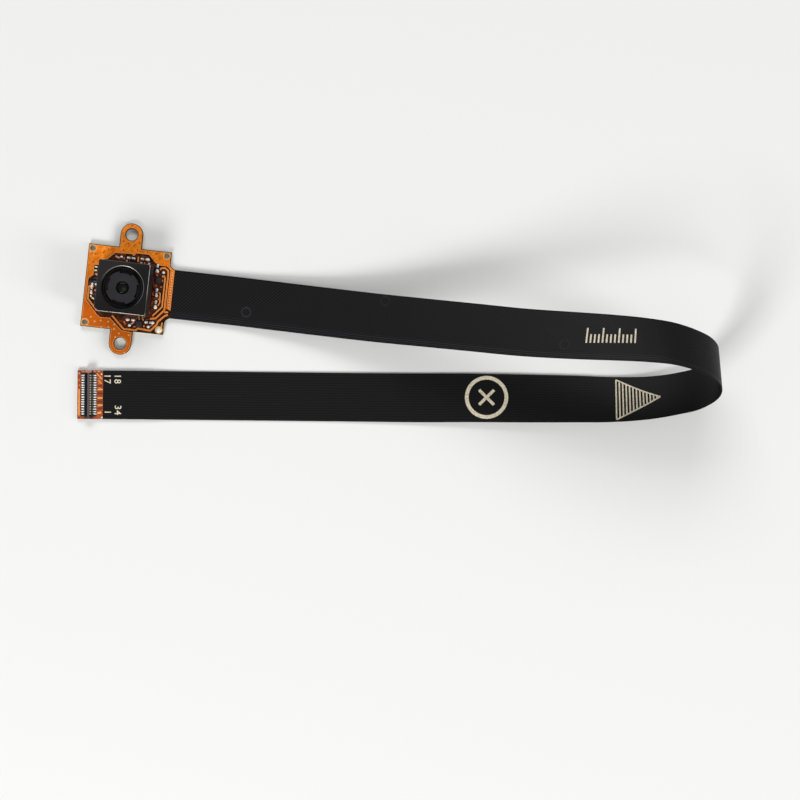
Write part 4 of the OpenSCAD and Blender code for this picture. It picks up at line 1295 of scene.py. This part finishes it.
def end_xy(wire):
    """Along and across the connector end, from the middle of the film's edge."""
    x, y = place_of(wire).parts("XY")
    return [x * row[0] + y * row[1] + row[3] for row in end_back[:2]]


def end_paint(wire):
    along, across = end_xy(wire)
    on_copper = place_of(wire).parts("Z")[0] > end_top - 0.02 * mm
    from_socket = abs(along - socket_middle)
    under_tails = (from_socket < 1.32 * mm) * (abs(across) < 3.62 * mm)
    mottle = grain(wire, 0.4 * mm, 4).step(0.3, 0.7)
    bands = grain(wire, 0.7 * mm, 2, stretch=(0.2, 1, 1)).step(0.4, 0.6)
    bare = mottle.mix((126, 50, 14), (178, 82, 32))
    tracks = bands.mix((150, 64, 20), (204, 108, 48))
    colour = on_copper.mix(bare, tracks)
    colour = (under_tails * (1 - on_copper * 0.3)).mix(colour, (44, 26, 18))
    return {"Base Color": colour, "Roughness": 0.34 + mottle * 0.2, "Normal": bump(mottle, 0.008 * mm)}


def contact_paint(wire):
    from_socket = end_xy(wire)[0] - socket_middle
    bloom = grain(wire, 0.12 * mm, 3)
    gold = bloom.mix((196, 176, 124), (236, 226, 186))
    tin = bloom.mix((206, 204, 200), (248, 246, 242))
    inside = abs(from_socket) < contact_reach
    far_side = from_socket < 0
    # Inside the socket, the contacts on the far side of the spine are painted dark as painted shade in
    # their trough; those on the near side stay gold.
    colour = inside.mix(tin, far_side.mix(gold, (40, 36, 34)))
    return {"Base Color": colour, "Metallic": 0.4 * inside + 0.1, "Roughness": 0.25 + bloom * 0.2}


def socket_paint(wire):
    specks = grain(wire, 0.08 * mm, 4)
    # The socket is one moulding: the spine's lighter purple-grey is painted light and the walls' near black
    # is painted shade.
    spine = abs(end_xy(wire)[0] - socket_middle) < spine_width / 2
    colour = spine.mix((30, 28, 30), specks.mix((66, 60, 70), (92, 84, 98)))
    return {"Base Color": colour, "Roughness": 0.42 + specks * 0.15, "Normal": bump(specks, 0.003 * mm)}


dress("flex_end", finish("coverlay_at_end", end_paint, Coat_Weight=0.2, Coat_Roughness=0.3))
dress("end_stiffener", glass_epoxy)
contact_finish = finish("plated_contact", contact_paint)
dress("outer_contacts", contact_finish)
dress("inner_contacts", contact_finish)
dress("connector_tabs", finish("tinned_tab", mottled(0.12, (170, 150, 140), (214, 200, 190)),
                               Metallic=0.5, Roughness=0.3))

# The socket's walls, floors and spine, as lines along and across it.
columns = [-socket_width / 2, socket_wall - socket_width / 2, -spine_width / 2]
columns += [-column for column in reversed(columns)]
rows = [-tail_width / 2, socket_end_wall - tail_width / 2]
rows += [-row for row in reversed(rows)]
socket_shape = bmesh.new()
bmesh.ops.create_grid(socket_shape, x_segments=5, y_segments=3, size=0.5)
for vert in socket_shape.verts:
    column = columns[round((vert.co.x + 0.5) * 5)]
    vert.co = (column, rows[round((vert.co.y + 0.5) * 3)], socket_high.z)
floors = [face for face in socket_shape.faces
          if abs(face.calc_center_median().y) < 1 * mm
          and spine_width / 2 < abs(face.calc_center_median().x) < socket_width / 2 - socket_wall]
thicken(socket_shape, floors, socket_floor - socket_high.z)
bmesh.ops.delete(socket_shape, geom=floors, context="FACES_ONLY")
draw_walls(socket_shape, [edge for edge in socket_shape.edges if edge.is_boundary],
           socket_low.z - socket_high.z)
foot_edges = [edge for edge in socket_shape.edges if edge.is_boundary]
bmesh.ops.contextual_create(socket_shape, geom=foot_edges)
bmesh.ops.recalc_face_normals(socket_shape, faces=socket_shape.faces)
round_edges(socket_shape, turned_edges(socket_shape, 60), socket_edge, segments=2, clamp=True)
socket_shape.transform(end_place @ Matrix.Translation((socket_middle, 0, 0)))
shade(socket_shape, 40)
socket = close_mesh("moulded_socket", socket_shape, finish("socket_moulding", socket_paint))
seat(socket, "module", "connector_moulding", "connector_housing")

fillet_shape = bmesh.new()
for k in range(contact_count):
    for side in (-1, 1):
        across = (k - (contact_count - 1) / 2) * contact_pitch
        swell = 1 + 0.12 * math.sin(2.9 * k + side)
        wander = 0.03 * mm * math.sin(5.1 * k)
        place = Vector((socket_middle + side * fillet_from_middle, across + wander))
        lobe(fillet_shape, place, (fillet_half.x * swell, *fillet_half.yz), end_bed)
fillet_shape.transform(end_place)
shade(fillet_shape, 60)
fillets = close_mesh("contact_solder", fillet_shape, solder)
seat(fillets, "module", "solder")


def cap_paint(wire):
    across = end_xy(wire)[1]
    brightening = grain(wire, 0.3 * mm, 3)
    # Both caps are the same plating: the far cap is painted lighter as painted light, and the near cap
    # darker as painted shade.
    lit_far_cap = brightening.mix((150, 84, 64), (214, 150, 126))
    shaded_near_cap = brightening.mix((58, 34, 30), (112, 70, 58))
    return {"Base Color": (across > 0).mix(shaded_near_cap, lit_far_cap), "Roughness": 0.3 + brightening * 0.2}


cap_shape = bmesh.new()
for side in (-1, 1):
    place = Vector((socket_middle, side * (tail_width / 2 - tab_from_end), socket_high.z - 0.05 * mm))
    block(cap_shape, place - tab_half, place + tab_half, tab_edge)
cap_shape.transform(end_place)
shade(cap_shape, 50)
caps = close_mesh("hold_down_caps", cap_shape, finish("rubbed_tab_lit_and_shaded", cap_paint, Metallic=0.3))
seat(caps, "module", "tin_tab")

# Each bare pad of the end, and each strip of painted shadow in the shadow tone beside the socket and its
# tails: its place, length and width, turn in degrees, and tone.
end_pads = [(-0.14, -3.78, 0.28, 0.26, 20, "cream"), (-0.25, 3.42, 0.22, 0.24, 0, "cream"),
            (-0.70, 3.88, 0.34, 0.20, 0, "pink"), (-2.34, 3.84, 2.2, 0.14, 0, "pink"),
            (-0.46, 0.88, 0.86, 0.24, 0, "bright"), (-0.46, -0.54, 0.86, 0.24, 0, "bright"),
            (-0.46, -1.73, 0.86, 0.22, 0, "bright"), (-0.56, -3.00, 0.70, 0.34, 12, "bright"),
            (-0.62, 3.10, 1.30, 0.18, -46, "bright"), (-0.52, 2.15, 0.90, 0.12, -38, "bright"),
            (-0.50, 0.20, 0.80, 0.34, 0, "shadow"), (-0.50, -1.15, 0.80, 0.30, 0, "shadow"),
            (-0.50, -2.30, 0.80, 0.26, 0, "shadow"), (-0.50, 1.45, 0.80, 0.26, 0, "shadow"),
            (-3.96, -1.25, 0.26, 4.30, 0, "bright"), (-3.96, 3.55, 0.22, 0.34, 0, "pink"),
            (-3.94, 2.45, 0.26, 0.36, 0, "orange"), (-3.94, 1.55, 0.26, 0.32, 0, "orange"),
            (-3.62, 1.95, 0.16, 1.10, 0, "shadow"), (-3.66, -1.25, 0.12, 4.30, 0, "shadow")]
end_trim = lay_pads("end_trim", end_pads, [], end_bed, 0.05 * mm, end_place)
